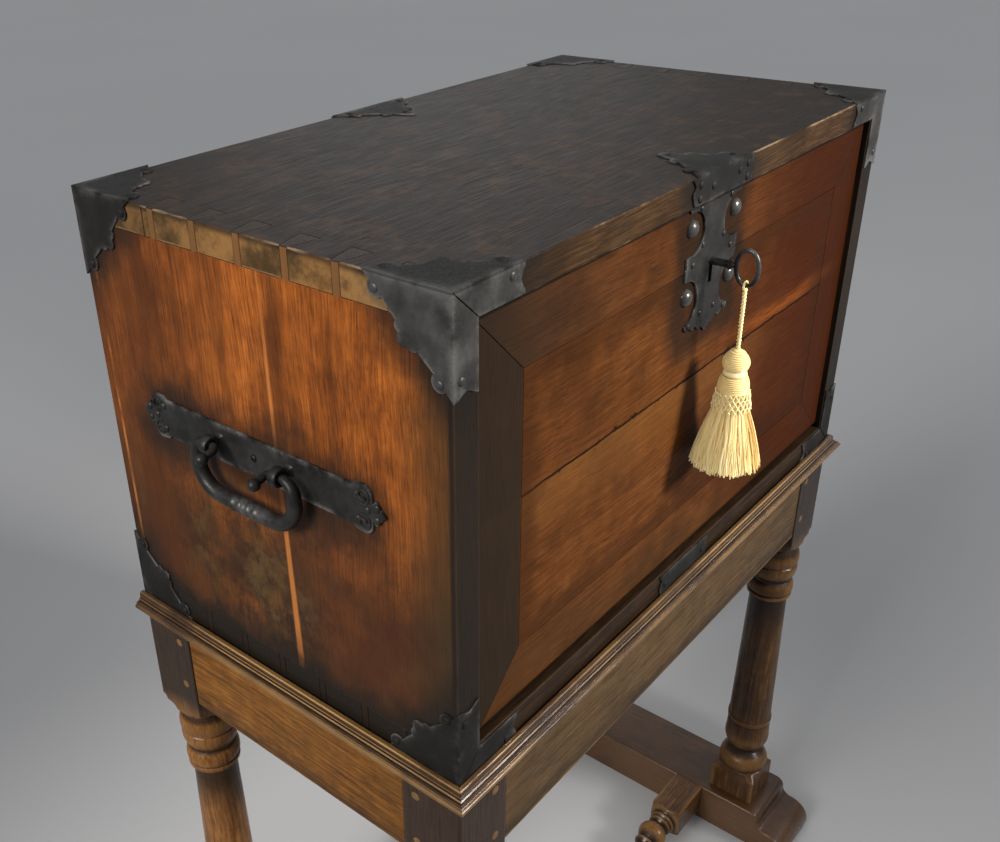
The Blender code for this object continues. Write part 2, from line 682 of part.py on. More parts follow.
def strap_strip(base, half, deep):
    """The part of a strap on the case's narrow edge: a band with a notch and two lobes at each end."""
    lobe = half * 0.10
    right = [(base, 0), (half, 0), (half - lobe, deep * 0.3), (half, deep * 0.55), (half - lobe, deep)]
    return [(-u, v) for u, v in reversed(right)] + right


def build_edge_straps():
    """A strap over the middle of the top's front and back edges, and a strip on the bottom's front edge."""
    x, y, z = 0, 1, 2
    lobe = STRAP_HALF * 0.10
    for end, sy, base in (("front", -1, STRAP_HALF * 0.84), ("back", 1, STRAP_HALF * 0.95)):
        apex = (0.0, STRAP_DEEP - lobe)
        rise = lobed_edge((base, 0), apex, [
            (0.30, -0.3 * lobe, lobe, 180, 0), (0.70, -0.3 * lobe, lobe, 180, 0)])
        leaf = [(-base, 0), (base, 0)] + rise + arc(*apex, lobe, 20, 160, LOBE_STEPS)
        leaf += [(-u, v) for u, v in reversed(rise)]
        corner = (0.0, sy * (HALF_D + GAP), CASE_HEAD + GAP)
        outline = strap_strip(base, STRAP_HALF, TOP_THICK - EDGE_MARGIN)
        folded_sheet(f"strap_top_{end}", corner, (1, -sy, -1), [((x, y), leaf), ((x, z), outline)])
    high = FLOOR_BOARD - EDGE_MARGIN
    deep = high - CASE_FOOT
    outline = [(u, high - v) for u, v in strap_strip(STRAP_HALF * 0.6, STRAP_HALF * 0.89, deep)]
    front = -HALF_D - GAP
    piece("strap_bottom_front", prism(outline, "y", front - SHEET, front), IRON)


# Handles: a plate with fleur tips, two eyes through the side, and a bail with hooked ends

def handle_plate_outline():
    neck = PLATE_HALF + 0.017
    upper = [(0, PLATE_RISE), (PLATE_HALF - 0.006, PLATE_RISE), (PLATE_HALF - 0.003, PLATE_RISE + 0.003)]
    upper += arc(PLATE_HALF + 0.007, PLATE_RISE - 0.006, 0.010, 110, -40, 6)
    upper += [(neck, 0.008), (neck + 0.004, 0.013), (neck + 0.008, 0.007), (PLATE_TIP, 0)]
    quarter_down = [(u, -v) for u, v in reversed(upper[:-1])]
    right = upper + quarter_down
    return right + [(-u, v) for u, v in reversed(right[1:-1])]


def eye_shank(sign, end, grow):
    """The square shank of an eye, or the hole for it, from the eye's wall into the side board."""
    tip = HALF_W - EYE_DEPTH - grow
    root = HALF_W + BAIL_OUT - EYE_BORE - EYE_WALL / 2 + grow
    low, high = sorted((sign * tip, sign * root))
    half = EYE_SHANK / 2 + grow
    middle = HANDLE_BACK + end * EYE_HALF
    return box((low, middle - half, EYE_Z - half), (high, middle + half, EYE_Z + half))


def bail_path():
    """Half the bail as (out, along, up) and radius: ball, hook through the eye, arm and half the bar."""
    inner = EYE_HALF - EYE_WIDTH / 2 - LOOSE
    outer = EYE_HALF + EYE_WIDTH / 2 + LOOSE
    hook = 0.0055
    sag = 0.23
    steps = [(BAIL_HOOK + 0.95 * BAIL_BALL, 0.30), (BAIL_HOOK + 0.7 * BAIL_BALL, 0.72), (BAIL_HOOK, 1.0),
             (BAIL_HOOK - 0.55 * BAIL_BALL, 0.84)]
    path = [(reach, inner - hook, -sag * reach) for reach, share in steps]
    radii = [BAIL_BALL * share for reach, share in steps]
    for along, reach in arc(inner, hook, hook, 180, 270, 3):
        path.append((reach, along, -sag * reach))
        radii.append(BAIL_NECK * 0.95)
    shoulder = BAIL_HALF - outer
    bend = 0.020
    arm = arc(outer, -shoulder, shoulder, 90, 0, 4) + arc(BAIL_HALF - bend, bend - BAIL_DROP, bend, 0, -90, 4)
    for i, (along, up) in enumerate(arm):
        path.append((0.0, along, up))
        radii.append(BAIL_NECK + (BAIL_BAR - BAIL_NECK) * min(1.0, i / 6))
    for along, swell in ((0.018, 1.0), (0.015, 1.14), (0.012, 1.0), (0.006, 1.0)):
        path.append((0.0, along, -BAIL_DROP))
        radii.append(BAIL_BAR * swell)
    return path, radii


def build_handles():
    half_path, half_radii = bail_path()
    path = half_path + [(0.0, 0.0, -BAIL_DROP)] + [(out, -along, up) for out, along, up in reversed(half_path)]
    radii = half_radii + [BAIL_BAR * 1.14] + half_radii[::-1]
    for side, sign in SIDES:
        low, high = sorted((sign * (HALF_W + GAP), sign * (HALF_W + GAP + PLATE_THICK)))
        outline = [(HANDLE_BACK + u, HANDLE_Z + v) for u, v in handle_plate_outline()]
        plate = piece(f"handle_plate_{side}", prism(outline, "x", low, high), IRON)
        shape_with(plate, "DIFFERENCE", joined(eye_shank(sign, -1, GAP), eye_shank(sign, 1, GAP)))
        axis_x = sign * (HALF_W + BAIL_OUT)
        for end, sy in ENDS:
            middle_y = HANDLE_BACK + sy * EYE_HALF
            wide = EYE_WIDTH / 2
            tall = EYE_BORE + EYE_WALL
            eye = piece(f"handle_eye_{side}_{end}", turned(
                [(tall, middle_y + wide), (tall, middle_y - wide)], (axis_x, 0, EYE_Z), "y", 16), IRON)
            shape_with(eye, "UNION", eye_shank(sign, sy, 0))
            shape_with(eye, "DIFFERENCE", turned(
                [(EYE_BORE, middle_y + 2 * wide), (EYE_BORE, middle_y - 2 * wide)],
                (axis_x, 0, EYE_Z), "y", 16))
        bar = [(axis_x + sign * out, HANDLE_BACK + along, EYE_Z + up) for out, along, up in path]
        piece(f"handle_bail_{side}", swept(bar, radii, 8), IRON, BAILS[side], smooth=True)


# Pigeonholes: a shelf across the case, with dividers above and below whose front edges sweep back

def divider_outline(foot, head):
    """Side view of a divider: an ogee front edge from the shelf's front to its swept-back head."""
    front = NEST_FRONT + DIVIDER_THICK
    height = head - foot
    edge = [(front + DIVIDER_SWEEP * (1 - cos(pi * t)) / 2, foot + height * t) for t in np.linspace(0, 1, 9)]
    return edge + [(BACK_FACE - GAP, head), (BACK_FACE - GAP, foot)]


def build_nest():
    half = INNER_HALF_W - GAP
    piece("nest_shelf", box((-half, NEST_FRONT, SHELF_Z), (half, BACK_FACE - GAP, SHELF_Z + SHELF_THICK)),
          NEST_WOOD)
    tiers = (("upper", UPPER_HOLES, SHELF_Z + SHELF_THICK + GAP, CEILING - GAP),
             ("lower", LOWER_HOLES, FLOOR_BOARD + GAP, SHELF_Z - GAP))
    for tier, holes, foot, head in tiers:
        outline = divider_outline(foot, head)
        for i in range(1, holes):
            middle = INNER_HALF_W * (2 * i / holes - 1)
            piece(f"nest_divider_{tier}_{i}",
                  prism(outline, "x", middle - DIVIDER_THICK / 2, middle + DIVIDER_THICK / 2), NEST_WOOD)


# Stand: four legs turned from square bars, tenoned aprons, mitred mouldings, sledge feet and stretchers

COLUMN_HEAD = 0.0265
COLUMN_FOOT = 0.0315
HEAD_TURNING = (             # drop, end radius, swell
    (0.020, 0.0285, 0), (0.028, 0.0338, 0.0030), (0.0015, 0.0322, 0), (0.0015, 0.0336, 0),
    (0.0240, 0.0280, 0.0028), (0.003, 0.0278, 0), (0.013, 0.0325, 0.0014), (0.010, 0.0298, 0.0010),
    (0.001, 0.0316, 0), (0.004, 0.0316, 0), (0.006, COLUMN_HEAD, 0))
FOOT_TURNING = (
    (0.0008, 0.0330, 0), (0.006, 0.0330, 0), (0.002, 0.0312, 0), (0.003, 0.0320, 0),
    (0.020, 0.0326, 0), (0.034, 0.0228, 0.0046), (0.004, 0.0230, 0), (0.030, 0.0352, 0.0066),
    (0.0015, 0.0345, 0), (0.0015, 0.0365, 0))


def leg_profile():
    """From the post's head to the foot: post, beads, tapered column, cup, neck and the block's dome."""
    corner = POST / sqrt(2) + 0.002
    post_foot = STAND_HEIGHT - POST_LENGTH
    block_head = FOOT_HEIGHT + LEG_BLOCK
    dome = 0.009
    profile = [(corner, STAND_HEIGHT)] + turning(corner, post_foot, HEAD_TURNING)
    cup = block_head + dome + sum(drop for drop, end, swell in FOOT_TURNING)
    profile += turning(COLUMN_FOOT, cup, FOOT_TURNING)
    return profile + [(corner, block_head), (corner, FOOT_HEIGHT)]


def apron_tenon(sx, sy, along, grow):
    """A tenon from an apron into a post, or its mortise; along is the way the apron runs."""
    low = STAND_HEIGHT - APRON_HEIGHT + TENON_SHOULDER - grow
    high = STAND_HEIGHT - TENON_SHOULDER + grow
    middle = APRON_RECESS + APRON_THICK / 2
    if along == "x":
        root = FRAME_HALF_W - POST
        a, b = sorted((sx * (root - GAP * 3), sx * (root + TENON_LENGTH + grow)))
        c = sy * (FRAME_HALF_D - middle)
        return box((a, c - TENON_THICK / 2 - grow, low), (b, c + TENON_THICK / 2 + grow, high))
    root = FRAME_HALF_D - POST
    a, b = sorted((sy * (root - GAP * 3), sy * (root + TENON_LENGTH + grow)))
    c = sx * (FRAME_HALF_W - middle)
    return box((c - TENON_THICK / 2 - grow, a, low), (c + TENON_THICK / 2 + grow, b, high))


def leg_tenon(sx, sy, grow):
    half = LEG_TENON / 2 + grow
    x = sx * LEG_X
    y = sy * LEG_Y
    return box((x - half, y - half, FOOT_HEIGHT - LEG_TENON_LENGTH - grow),
               (x + half, y + half, FOOT_HEIGHT + GAP * 10))


def build_legs():
    half = POST / 2
    for end, sy in ENDS:
        for side, sx in SIDES:
            x = sx * LEG_X
            y = sy * LEG_Y
            leg = piece(f"leg_{end}_{side}", turned(leg_profile(), (x, y, 0), "z", LEG_SEGMENTS),
                        STAND_WOOD, smooth=True)
            shape_with(leg, "INTERSECT", box(
                (x - half, y - half, FOOT_HEIGHT + GAP), (x + half, y + half, STAND_HEIGHT - GAP)))
            shape_with(leg, "UNION", leg_tenon(sx, sy, 0))
            shape_with(leg, "DIFFERENCE", joined(
                apron_tenon(sx, sy, "x", GAP), apron_tenon(sx, sy, "y", GAP)))


def build_aprons():
    low = STAND_HEIGHT - APRON_HEIGHT
    high = STAND_HEIGHT - GAP
    for end, sy in ENDS:
        reach = FRAME_HALF_W - POST - GAP
        a, b = sorted((sy * (FRAME_HALF_D - APRON_RECESS), sy * (FRAME_HALF_D - APRON_RECESS - APRON_THICK)))
        apron = piece(f"apron_{end}", box((-reach, a, low), (reach, b, high)), STAND_WOOD)
        for sx in (-1, 1):
            shape_with(apron, "UNION", apron_tenon(sx, sy, "x", 0))
    for side, sx in SIDES:
        reach = FRAME_HALF_D - POST - GAP
        a, b = sorted((sx * (FRAME_HALF_W - APRON_RECESS), sx * (FRAME_HALF_W - APRON_RECESS - APRON_THICK)))
        apron = piece(f"apron_{side}", box((a, -reach, low), (b, reach, high)), STAND_WOOD)
        for sy in (-1, 1):
            shape_with(apron, "UNION", apron_tenon(sx, sy, "y", 0))


def moulding_profile():
    """Section of the moulding as (out from the frame, height): fillet, cavetto, quirk and bead."""
    top = STAND_HEIGHT + LIP
    bead = 0.0029
    cove = 0.0080
    fillet = 0.0050
    bead_z = top - 0.0030 - cove - 0.0015 - bead
    profile = [(GAP, bead_z - bead), (GAP, top), (fillet, top), (fillet + 0.0008, top - 0.0010)]
    profile += arc(fillet + 0.0010 + cove, top - 0.0030, cove, 180, 262, 5)
    profile += [(fillet + cove - 0.0012, top - 0.0035 - cove)]
    profile += arc(fillet + cove - 0.0012, bead_z, bead, 80, -90, 6)
    return profile


def build_mouldings():
    """Three strips, mitred at the front corners and cut square at the back, where the stand meets a wall."""
    profile = moulding_profile()
    mitre = GAP * sqrt(0.5)
    rings = [[(s * (FRAME_HALF_W + out - mitre), -FRAME_HALF_D - out, z) for out, z in profile] for s in (-1, 1)]
    piece("moulding_front", loft(rings), STAND_WOOD)
    for side, sx in SIDES:
        front = [(sx * (FRAME_HALF_W + out), -FRAME_HALF_D - out + mitre, z) for out, z in profile]
        back = [(sx * (FRAME_HALF_W + out), FRAME_HALF_D, z) for out, z in profile]
        piece(f"moulding_{side}", loft([front, back]), STAND_WOOD)


def foot_outline():
    """Side view of a sledge foot: ovolo, cavetto and rounded toe at each end, on a flat sole."""
    toe = FOOT_LENGTH / 2
    ovolo = 0.014
    flat = LEG_Y + POST / 2 + 0.0076
    shelf = FOOT_HEIGHT - 2 * ovolo
    toe_round = toe - flat - 2 * ovolo
    half = [(0, FOOT_HEIGHT)] + arc(flat, FOOT_HEIGHT - ovolo, ovolo, 90, 0, 4)
    half += arc(flat + 2 * ovolo, FOOT_HEIGHT - ovolo, ovolo, 195, 270, 4)
    nose = shelf * 0.28
    half += [(toe - toe_round + toe_round * sin(a), nose + (shelf - nose) * cos(a))
             for a in np.radians([25, 50, 72, 90])]
    half += [(toe - 0.002, nose * 0.35), (toe - 0.008, 0)]
    return half + [(-u, v) for u, v in reversed(half) if u > 0]


def stretcher_tenon(sx, sy, grow):
    half = STRETCHER_TENON / 2 + grow
    root = LEG_X - FOOT_WIDTH / 2
    y = sy * (LEG_Y - STRETCHER_SETBACK)
    z = FOOT_HEIGHT - GAP - STRETCHER / 2
    low, high = sorted((sx * (root - GAP * 10), sx * (root + STRETCHER_TENON_LENGTH + grow)))
    return box((low, y - half, z - half), (high, y + half, z + half))


def build_feet():
    for side, sx in SIDES:
        low = sx * LEG_X - FOOT_WIDTH / 2
        foot = piece(f"foot_{side}", prism(foot_outline(), "x", low, low + FOOT_WIDTH), STAND_WOOD)
        mortises = [leg_tenon(sx, sy, GAP) for sy in (-1, 1)]
        mortises += [stretcher_tenon(sx, sy, GAP) for sy in (-1, 1)]
        shape_with(foot, "DIFFERENCE", joined(*mortises))


def stretcher_profile():
    """Half a stretcher from its end to the middle: block, rings, ball, ring, baluster and a middle ball."""
    half = LEG_X - FOOT_WIDTH / 2 - GAP
    r = STRETCHER / 2
    members = [
        (0.010, 0.85 * r, 0.04 * r), (0.002, 0.74 * r, 0), (0.006, 0.74 * r, 0.10 * r), (0.002, 0.66 * r, 0),
        (0.005, 0.66 * r, 0.10 * r), (0.003, 0.52 * r, 0), (0.036, 0.52 * r, 0.42 * r), (0.003, 0.60 * r, 0),
        (0.006, 0.60 * r, 0.10 * r), (0.003, 0.46 * r, 0)]
    used = STRETCHER_BLOCK + sum(drop for drop, end, swell in members)
    ball = 0.020
    members.append((half - used - ball, 0.62 * r, 0.24 * r))
    members.append((0.002, 0.52 * r, 0))
    corner = r * sqrt(2) + 0.002
    profile = [(corner, half)] + turning(corner, half - STRETCHER_BLOCK, members)
    rest = ball - 0.002
    return profile + [(r * (0.52 + 0.40 * sin(t)), rest * (1 - t / (pi / 2))) for t in (0.4, 0.9, pi / 2)]


def build_stretchers():
    half_profile = stretcher_profile()
    profile = half_profile + [(radius, -along) for radius, along in reversed(half_profile[:-1])]
    half = STRETCHER / 2
    reach = LEG_X - FOOT_WIDTH / 2
    z = FOOT_HEIGHT - GAP - half
    for end, sy in ENDS:
        y = sy * (LEG_Y - STRETCHER_SETBACK)
        bar = piece(f"stretcher_{end}", turned(profile, (0, y, z), "x", STRETCHER_SEGMENTS),
                    STAND_WOOD, smooth=True)
        shape_with(bar, "INTERSECT", box((-reach, y - half, z - half), (reach, y + half, z + half)))
        for sx in (-1, 1):
            shape_with(bar, "UNION", stretcher_tenon(sx, sy, 0))


build_case()
build_fall()
build_lock()
build_tassel()
build_corner_mounts()
build_edge_straps()
build_handles()
build_nest()
build_legs()
build_aprons()
build_mouldings()
build_feet()
build_stretchers()
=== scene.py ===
"""Fall-front writing desk, dressed: waxed wood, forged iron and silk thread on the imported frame.

Metres, +Z up; the front faces -Y. The sections follow the desk as it is put together, from the floor up.
"""

from math import cos, pi, radians, sin, sqrt

import bmesh
import bpy
import numpy as np
from mathutils import Matrix, Vector


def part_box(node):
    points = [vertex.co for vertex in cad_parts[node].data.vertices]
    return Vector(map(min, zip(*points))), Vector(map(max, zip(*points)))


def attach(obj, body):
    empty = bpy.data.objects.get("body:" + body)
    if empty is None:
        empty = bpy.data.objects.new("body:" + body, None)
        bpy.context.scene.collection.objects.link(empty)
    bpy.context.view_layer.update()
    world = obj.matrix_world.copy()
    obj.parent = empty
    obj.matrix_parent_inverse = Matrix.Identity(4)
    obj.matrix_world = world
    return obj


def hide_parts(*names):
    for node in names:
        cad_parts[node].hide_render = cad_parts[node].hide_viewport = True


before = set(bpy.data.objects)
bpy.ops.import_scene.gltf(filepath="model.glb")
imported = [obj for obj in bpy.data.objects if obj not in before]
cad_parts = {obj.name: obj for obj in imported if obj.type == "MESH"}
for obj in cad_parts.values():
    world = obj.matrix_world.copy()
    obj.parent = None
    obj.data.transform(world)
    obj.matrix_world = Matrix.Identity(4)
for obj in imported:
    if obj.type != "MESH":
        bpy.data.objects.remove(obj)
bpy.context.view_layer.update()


# Studio: a pale floor with no seam under an even grey light; its colour is painted darker near the desk as
# shade. One lamp stands to the right of the desk's front, a wide one off its left side, and the camera off its
# front left corner, looking down.

CAMERA_PLACE = Vector((-0.9311, -0.6620, 1.4485))
VIEW_TURN = radians(48.49)       # from straight ahead at the desk's front towards its right
VIEW_DIP = radians(28.14)
VIEW_ROLL = radians(1.80)
FOCAL_PIXELS = 1079.0
IMAGE_WIDTH = 1000
VIEW_MIDDLE = 419.5              # where the lens points, in pixels from the image's left
SENSOR = 36.0
FLOOR_REACH = 30.0
SURROUND = (0.165, 0.170, 0.180)
BEAM = radians(42)               # how wide the lamps throw
GLOW = 0.95
FLOOR_NEAR = (0.39, 0.393, 0.40)
FLOOR_FAR = (0.55, 0.553, 0.565)


def studio_lamp(name, place, aim, size, watts, tint):
    data = bpy.data.lights.new(name, "AREA")
    data.spread = BEAM
    data.shape = "RECTANGLE"
    data.size, data.size_y = size
    data.energy = watts
    data.color = tint
    lamp = bpy.data.objects.new(name, data)
    lamp.location = place
    lamp.rotation_euler = (Vector(aim) - Vector(place)).to_track_quat("-Z", "Y").to_euler()
    bpy.context.scene.collection.objects.link(lamp)


def light_studio():
    scene = bpy.context.scene
    scene.view_settings.view_transform = "Standard"
    surround = bpy.data.worlds.new("surround")
    surround.use_nodes = True
    surround.node_tree.nodes["Background"].inputs["Color"].default_value = (*SURROUND, 1.0)
    scene.world = surround
    studio_lamp("front_lamp", (0.85, -2.55, 2.15), (0.0, -0.2, 1.02), (0.8, 0.8), 9.6, (1.0, 0.96, 0.90))
    studio_lamp("side_lamp", (-2.7, 0.25, 2.2), (-0.4, 0.0, 0.86), (1.5, 1.2), 8.4, (1.0, 0.97, 0.93))
    studio_lamp("sheen_lamp", (2.6, 2.3, 2.3), (0.0, 0.0, 1.1), (2.0, 1.4), 0.5, (0.96, 0.98, 1.0))
    glow = bpy.data.lights.new("sky_glow", "SUN")
    glow.energy = GLOW
    glow.angle = radians(130)
    scene.collection.objects.link(bpy.data.objects.new("sky_glow", glow))


def place_camera():
    """Looks down at the desk's front left corner, with the lens's middle off the image's own."""
    ahead = Vector((sin(VIEW_TURN) * cos(VIEW_DIP), cos(VIEW_TURN) * cos(VIEW_DIP), -sin(VIEW_DIP)))
    across = ahead.cross(Vector((0, 0, 1))).normalized()
    down = ahead.cross(across)
    right = cos(VIEW_ROLL) * across + sin(VIEW_ROLL) * down
    below = cos(VIEW_ROLL) * down - sin(VIEW_ROLL) * across
    data = bpy.data.cameras.new("camera")
    data.sensor_fit = "HORIZONTAL"
    data.sensor_width = SENSOR
    data.lens = SENSOR * FOCAL_PIXELS / IMAGE_WIDTH
    data.shift_x = 0.5 - VIEW_MIDDLE / IMAGE_WIDTH
    camera = bpy.data.objects.new("camera", data)
    camera.matrix_world = Matrix.Translation(CAMERA_PLACE) @ Matrix((right, -below, -ahead)).transposed().to_4x4()
    bpy.context.scene.collection.objects.link(camera)
    bpy.context.scene.camera = camera


light_studio()
place_camera()


def fill(node, inputs):
    """Fills a shader node's inputs with values or links."""
    for name, value in dict(inputs).items():
        value = getattr(value, "socket", value)
        if isinstance(value, bpy.types.NodeSocket):
            node.id_data.links.new(value, node.inputs[name])
        else:
            node.inputs[name].default_value = value


def put(tree, kind, inputs=(), **settings):
    """Adds a shader node with its settings, and fills its inputs."""
    made = tree.nodes.new("ShaderNode" + kind)
    for name, value in settings.items():
        setattr(made, name, value)
    fill(made, inputs)
    return made


def noise(tree, place, scale, detail=2.0, roughness=0.5):
    given = {"Vector": place, "Scale": scale, "Detail": detail, "Roughness": roughness}
    return Tone(put(tree, "TexNoise", given).outputs["Fac"])


class Tone:
    """A number over a surface, put out by a node. Sums with it are more nodes; | takes the larger of two, & the
    smaller, and ease carries one range smoothly over to another and holds it at both ends."""

    def __init__(self, socket):
        self.socket = socket

    def sum(self, operation, *values, clamp=False):
        return Tone(put(self.socket.id_data, "Math", enumerate((self, *values)), operation=operation,
                        use_clamp=clamp).outputs[0])

    def ease(self, low, high, start=0.0, end=1.0):
        given = {"Value": self, "From Min": low, "From Max": high, "To Min": start, "To Max": end}
        return Tone(put(self.socket.id_data, "MapRange", given, interpolation_type="SMOOTHSTEP").outputs["Result"])

    def __add__(self, other):
        return self.sum("ADD", other)

    def __sub__(self, other):
        return self.sum("SUBTRACT", other)

    def __mul__(self, other):
        return self.sum("MULTIPLY", other)

    def __truediv__(self, other):
        return self.sum("DIVIDE", other)

    def __or__(self, other):
        return self.sum("MAXIMUM", other)

    def __and__(self, other):
        return self.sum("MINIMUM", other)

    def __abs__(self):
        return self.sum("ABSOLUTE")

    __rmul__ = __mul__


class Finish:
    """A material in the making: the place on its piece, and the colour that stains are laid over in turn."""

    def __init__(self, name):
        self.material = bpy.data.materials.new(name)
        self.material.use_nodes = True
        self.tree = self.material.node_tree
        self.place = put(self.tree, "TexCoord").outputs["Object"]
        self.colour = None

    def axes(self, wanted):
        """The place's coordinates, as many as the letters that are wanted."""
        parts = put(self.tree, "SeparateXYZ", {0: self.place}).outputs
        return [Tone(parts["xyz".index(letter)]) for letter in wanted]

    def noise(self, *settings):
        return noise(self.tree, self.place, *settings)

    def attribute(self, name):
        return Tone(put(self.tree, "Attribute", attribute_name=name).outputs["Fac"])

    def effect(self, group, **given):
        """What a shared group puts out, by name."""
        made = put(self.tree, "Group", {"Vector": self.place, **given}, node_tree=group)
        return {socket.name: Tone(socket) for socket in made.outputs}

    def ramp(self, value, spots, tones):
        """A colour that runs through three tones as a value rises past three spots."""
        ramp = put(self.tree, "ValToRGB", {"Fac": value})
        ramp.color_ramp.elements.new(0.5)
        for element, spot, tone in zip(ramp.color_ramp.elements, spots, tones):
            element.position = spot
            element.color = (*tone, 1.0)
        return ramp.outputs["Color"]

    def stain(self, mask, tint, strength=1.0):
        """Lays a tint, or a colour made before, over the colour through a mask."""
        share = mask if strength == 1.0 else mask.sum("MULTIPLY", strength, clamp=True)
        tint = tint if isinstance(tint, bpy.types.NodeSocket) else (*tint, 1.0)
        mix = put(self.tree, "Mix", {"Factor": share, "A": self.colour, "B": tint}, data_type="RGBA")
        self.colour = mix.outputs["Result"]

    def done(self, inputs):
        """Fills the shader with the colour and the other inputs, and hands over the material."""
        fill(self.tree.nodes["Principled BSDF"], {"Base Color": self.colour, **inputs})
        return self.material


def build_floor():
    corners = [(x * FLOOR_REACH, y * FLOOR_REACH, 0) for x, y in ((-1, -1), (1, -1), (1, 1), (-1, 1))]
    mesh = bpy.data.meshes.new("floor")
    mesh.from_pydata(corners, [], [(0, 1, 2, 3)])
    floor = bpy.data.objects.new("floor", mesh)
    bpy.context.scene.collection.objects.link(floor)
    pale = Finish("pale_floor")
    pale.colour = (*FLOOR_NEAR, 1.0)
    # Painted shade and light: the floor is darker near the desk and lighter far from it.
    away = Tone(put(pale.tree, "VectorMath", {0: pale.place}, operation="LENGTH").outputs["Value"])
    pale.stain(0.25 * pale.noise(0.7) + away.ease(0.6, 3.2, 0.0, 0.75), FLOOR_FAR)
    mesh.materials.append(pale.done({"Roughness": 0.75}))


build_floor()


# Sledge feet: two oak blocks with an ovolo, a cavetto and a rounded toe worked on both ends. The legs are
# tenoned into their tops and the stretchers into their inner sides. Their arrises are rubbed round.

def new_group(name, defaults, outputs):
    """A shader node group: each input has a number or a vector for its default, and each output is a number."""
    group = bpy.data.node_groups.new(name, "ShaderNodeTree")
    for label, default in defaults.items():
        kind = "NodeSocketFloat" if isinstance(default, float) else "NodeSocketVector"
        group.interface.new_socket(label, in_out="INPUT", socket_type=kind).default_value = default
    for label in outputs:
        group.interface.new_socket(label, in_out="OUTPUT", socket_type="NodeSocketFloat")
    return group, group.nodes.new("NodeGroupInput").outputs, group.nodes.new("NodeGroupOutput")


def vector_sum(group, operation, *values):
    return put(group, "VectorMath", enumerate(values), operation=operation).outputs["Vector"]


def make_wood_figure():
    """Grain along X: fine streaks, broad clouds, mottles, short dark pores, and the relief."""
    group, given, result = new_group("wood_figure", {"Vector": (0, 0, 0), "Lines": 130.0},
                                     ("Streak", "Cloud", "Mottle", "Pore", "Height"))
    place = given["Vector"]
    drift = put(group, "TexNoise", {"Vector": place, "Scale": 3.5}).outputs["Color"]
    bent = vector_sum(group, "MULTIPLY_ADD", drift, (0.03, 0.03, 0.03), place)
    long, broad, short = (vector_sum(group, "MULTIPLY", bent, (share, 1, 1)) for share in (0.03, 0.22, 0.05))
    streak = noise(group, long, given["Lines"], 8.0, 0.66)
    pore = noise(group, short, 560.0).ease(0.57, 0.70)
    fill(result, {"Streak": streak, "Cloud": noise(group, broad, 11.0, 4.0, 0.6), "Pore": pore,
                  "Mottle": noise(group, place, 34.0, 8.0, 0.72), "Height": streak - 0.7 * pore})
    return group


wood_figure = make_wood_figure()
ALONG_X = (0.0, 0.0, 0.0)
ALONG_Y = (0.0, 0.0, -pi / 2)
ALONG_Z = (0.0, pi / 2, 0.0)


def start_wood(name, grain, shift, tones, lines, calm=0.17):
    """A wood whose colour runs with its figure from the dark through the middle to the light tone. The higher calm
    is, the less they part."""
    wood = Finish(name)
    turned = put(wood.tree, "Mapping", {"Vector": wood.place, "Location": (shift, 0.37 * shift, 0.71 * shift),
                                        "Rotation": grain}).outputs["Vector"]
    wood.figure = wood.effect(wood_figure, Vector=turned, Lines=lines)
    run = 0.54 * wood.figure["Streak"] + 0.32 * wood.figure["Mottle"] + 0.24 * wood.figure["Cloud"]
    wood.colour = wood.ramp(run, (0.55 - calm, 0.55, 0.55 + calm), tones)
    wood.stain(wood.figure["Pore"], tones[0], 0.55)
    return wood


def end_wood(wood, rough, wax, relief=0.0006, gloss=0.13):
    """Waxes the wood: its roughness and relief follow the figure."""
    bump = put(wood.tree, "Bump", {"Height": wood.figure["Height"], "Distance": relief, "Strength": 0.7})
    return wood.done({
        "Roughness": wood.figure["Streak"].ease(0.3, 0.7, rough + 0.10, rough - 0.06),
        "Normal": bump.outputs["Normal"], "Specular IOR Level": gloss, "Coat Weight": wax, "Coat Roughness": 0.22})


def off_from(group, place, middle):
    """How far a place is from a middle along each axis."""
    return vector_sum(group, "ABSOLUTE", vector_sum(group, "SUBTRACT", place, middle))


def make_worn_edge():
    """How near a point of a block's skin is to its arrises: the second nearest face, broken by a noise."""
    group, given, result = new_group(
        "worn_edge", {"Vector": (0, 0, 0), "Centre": (0, 0, 0), "Half": (1, 1, 1), "Width": 0.004}, ("Mask",))
    depth = vector_sum(group, "SUBTRACT", given["Half"], off_from(group, given["Vector"], given["Centre"]))
    x, y, z = map(Tone, put(group, "SeparateXYZ", {0: depth}).outputs)
    second = (x | y) & ((x & y) | z)
    ragged = second / (Tone(given["Width"]) * noise(group, given["Vector"], 45.0, 4.0))
    fill(result, {"Mask": ragged.ease(0.4, 2.0, 1.0, 0.0)})
    return group


worn_edge = make_worn_edge()


def arrises(wood, box, width):
    """A mask along the arrises of a board, given by its two far corners."""
    low, high = box
    return wood.effect(worn_edge, Centre=(low + high) / 2, Half=(high - low) / 2, Width=width)["Mask"]


OAK_TONES = ((0.008, 0.0034, 0.0012), (0.064, 0.0275, 0.0082), (0.170, 0.0830, 0.0270))
OAK_WORN = (0.19, 0.094, 0.027)
OAK_GOLD = (0.44, 0.250, 0.085)
OAK_GRIME = (0.010, 0.006, 0.004)
FOOT_TONES = ((0.009, 0.0040, 0.0016), (0.040, 0.0175, 0.0066), (0.088, 0.0410, 0.0165))
FOOT_WORN = (0.120, 0.0590, 0.0230)


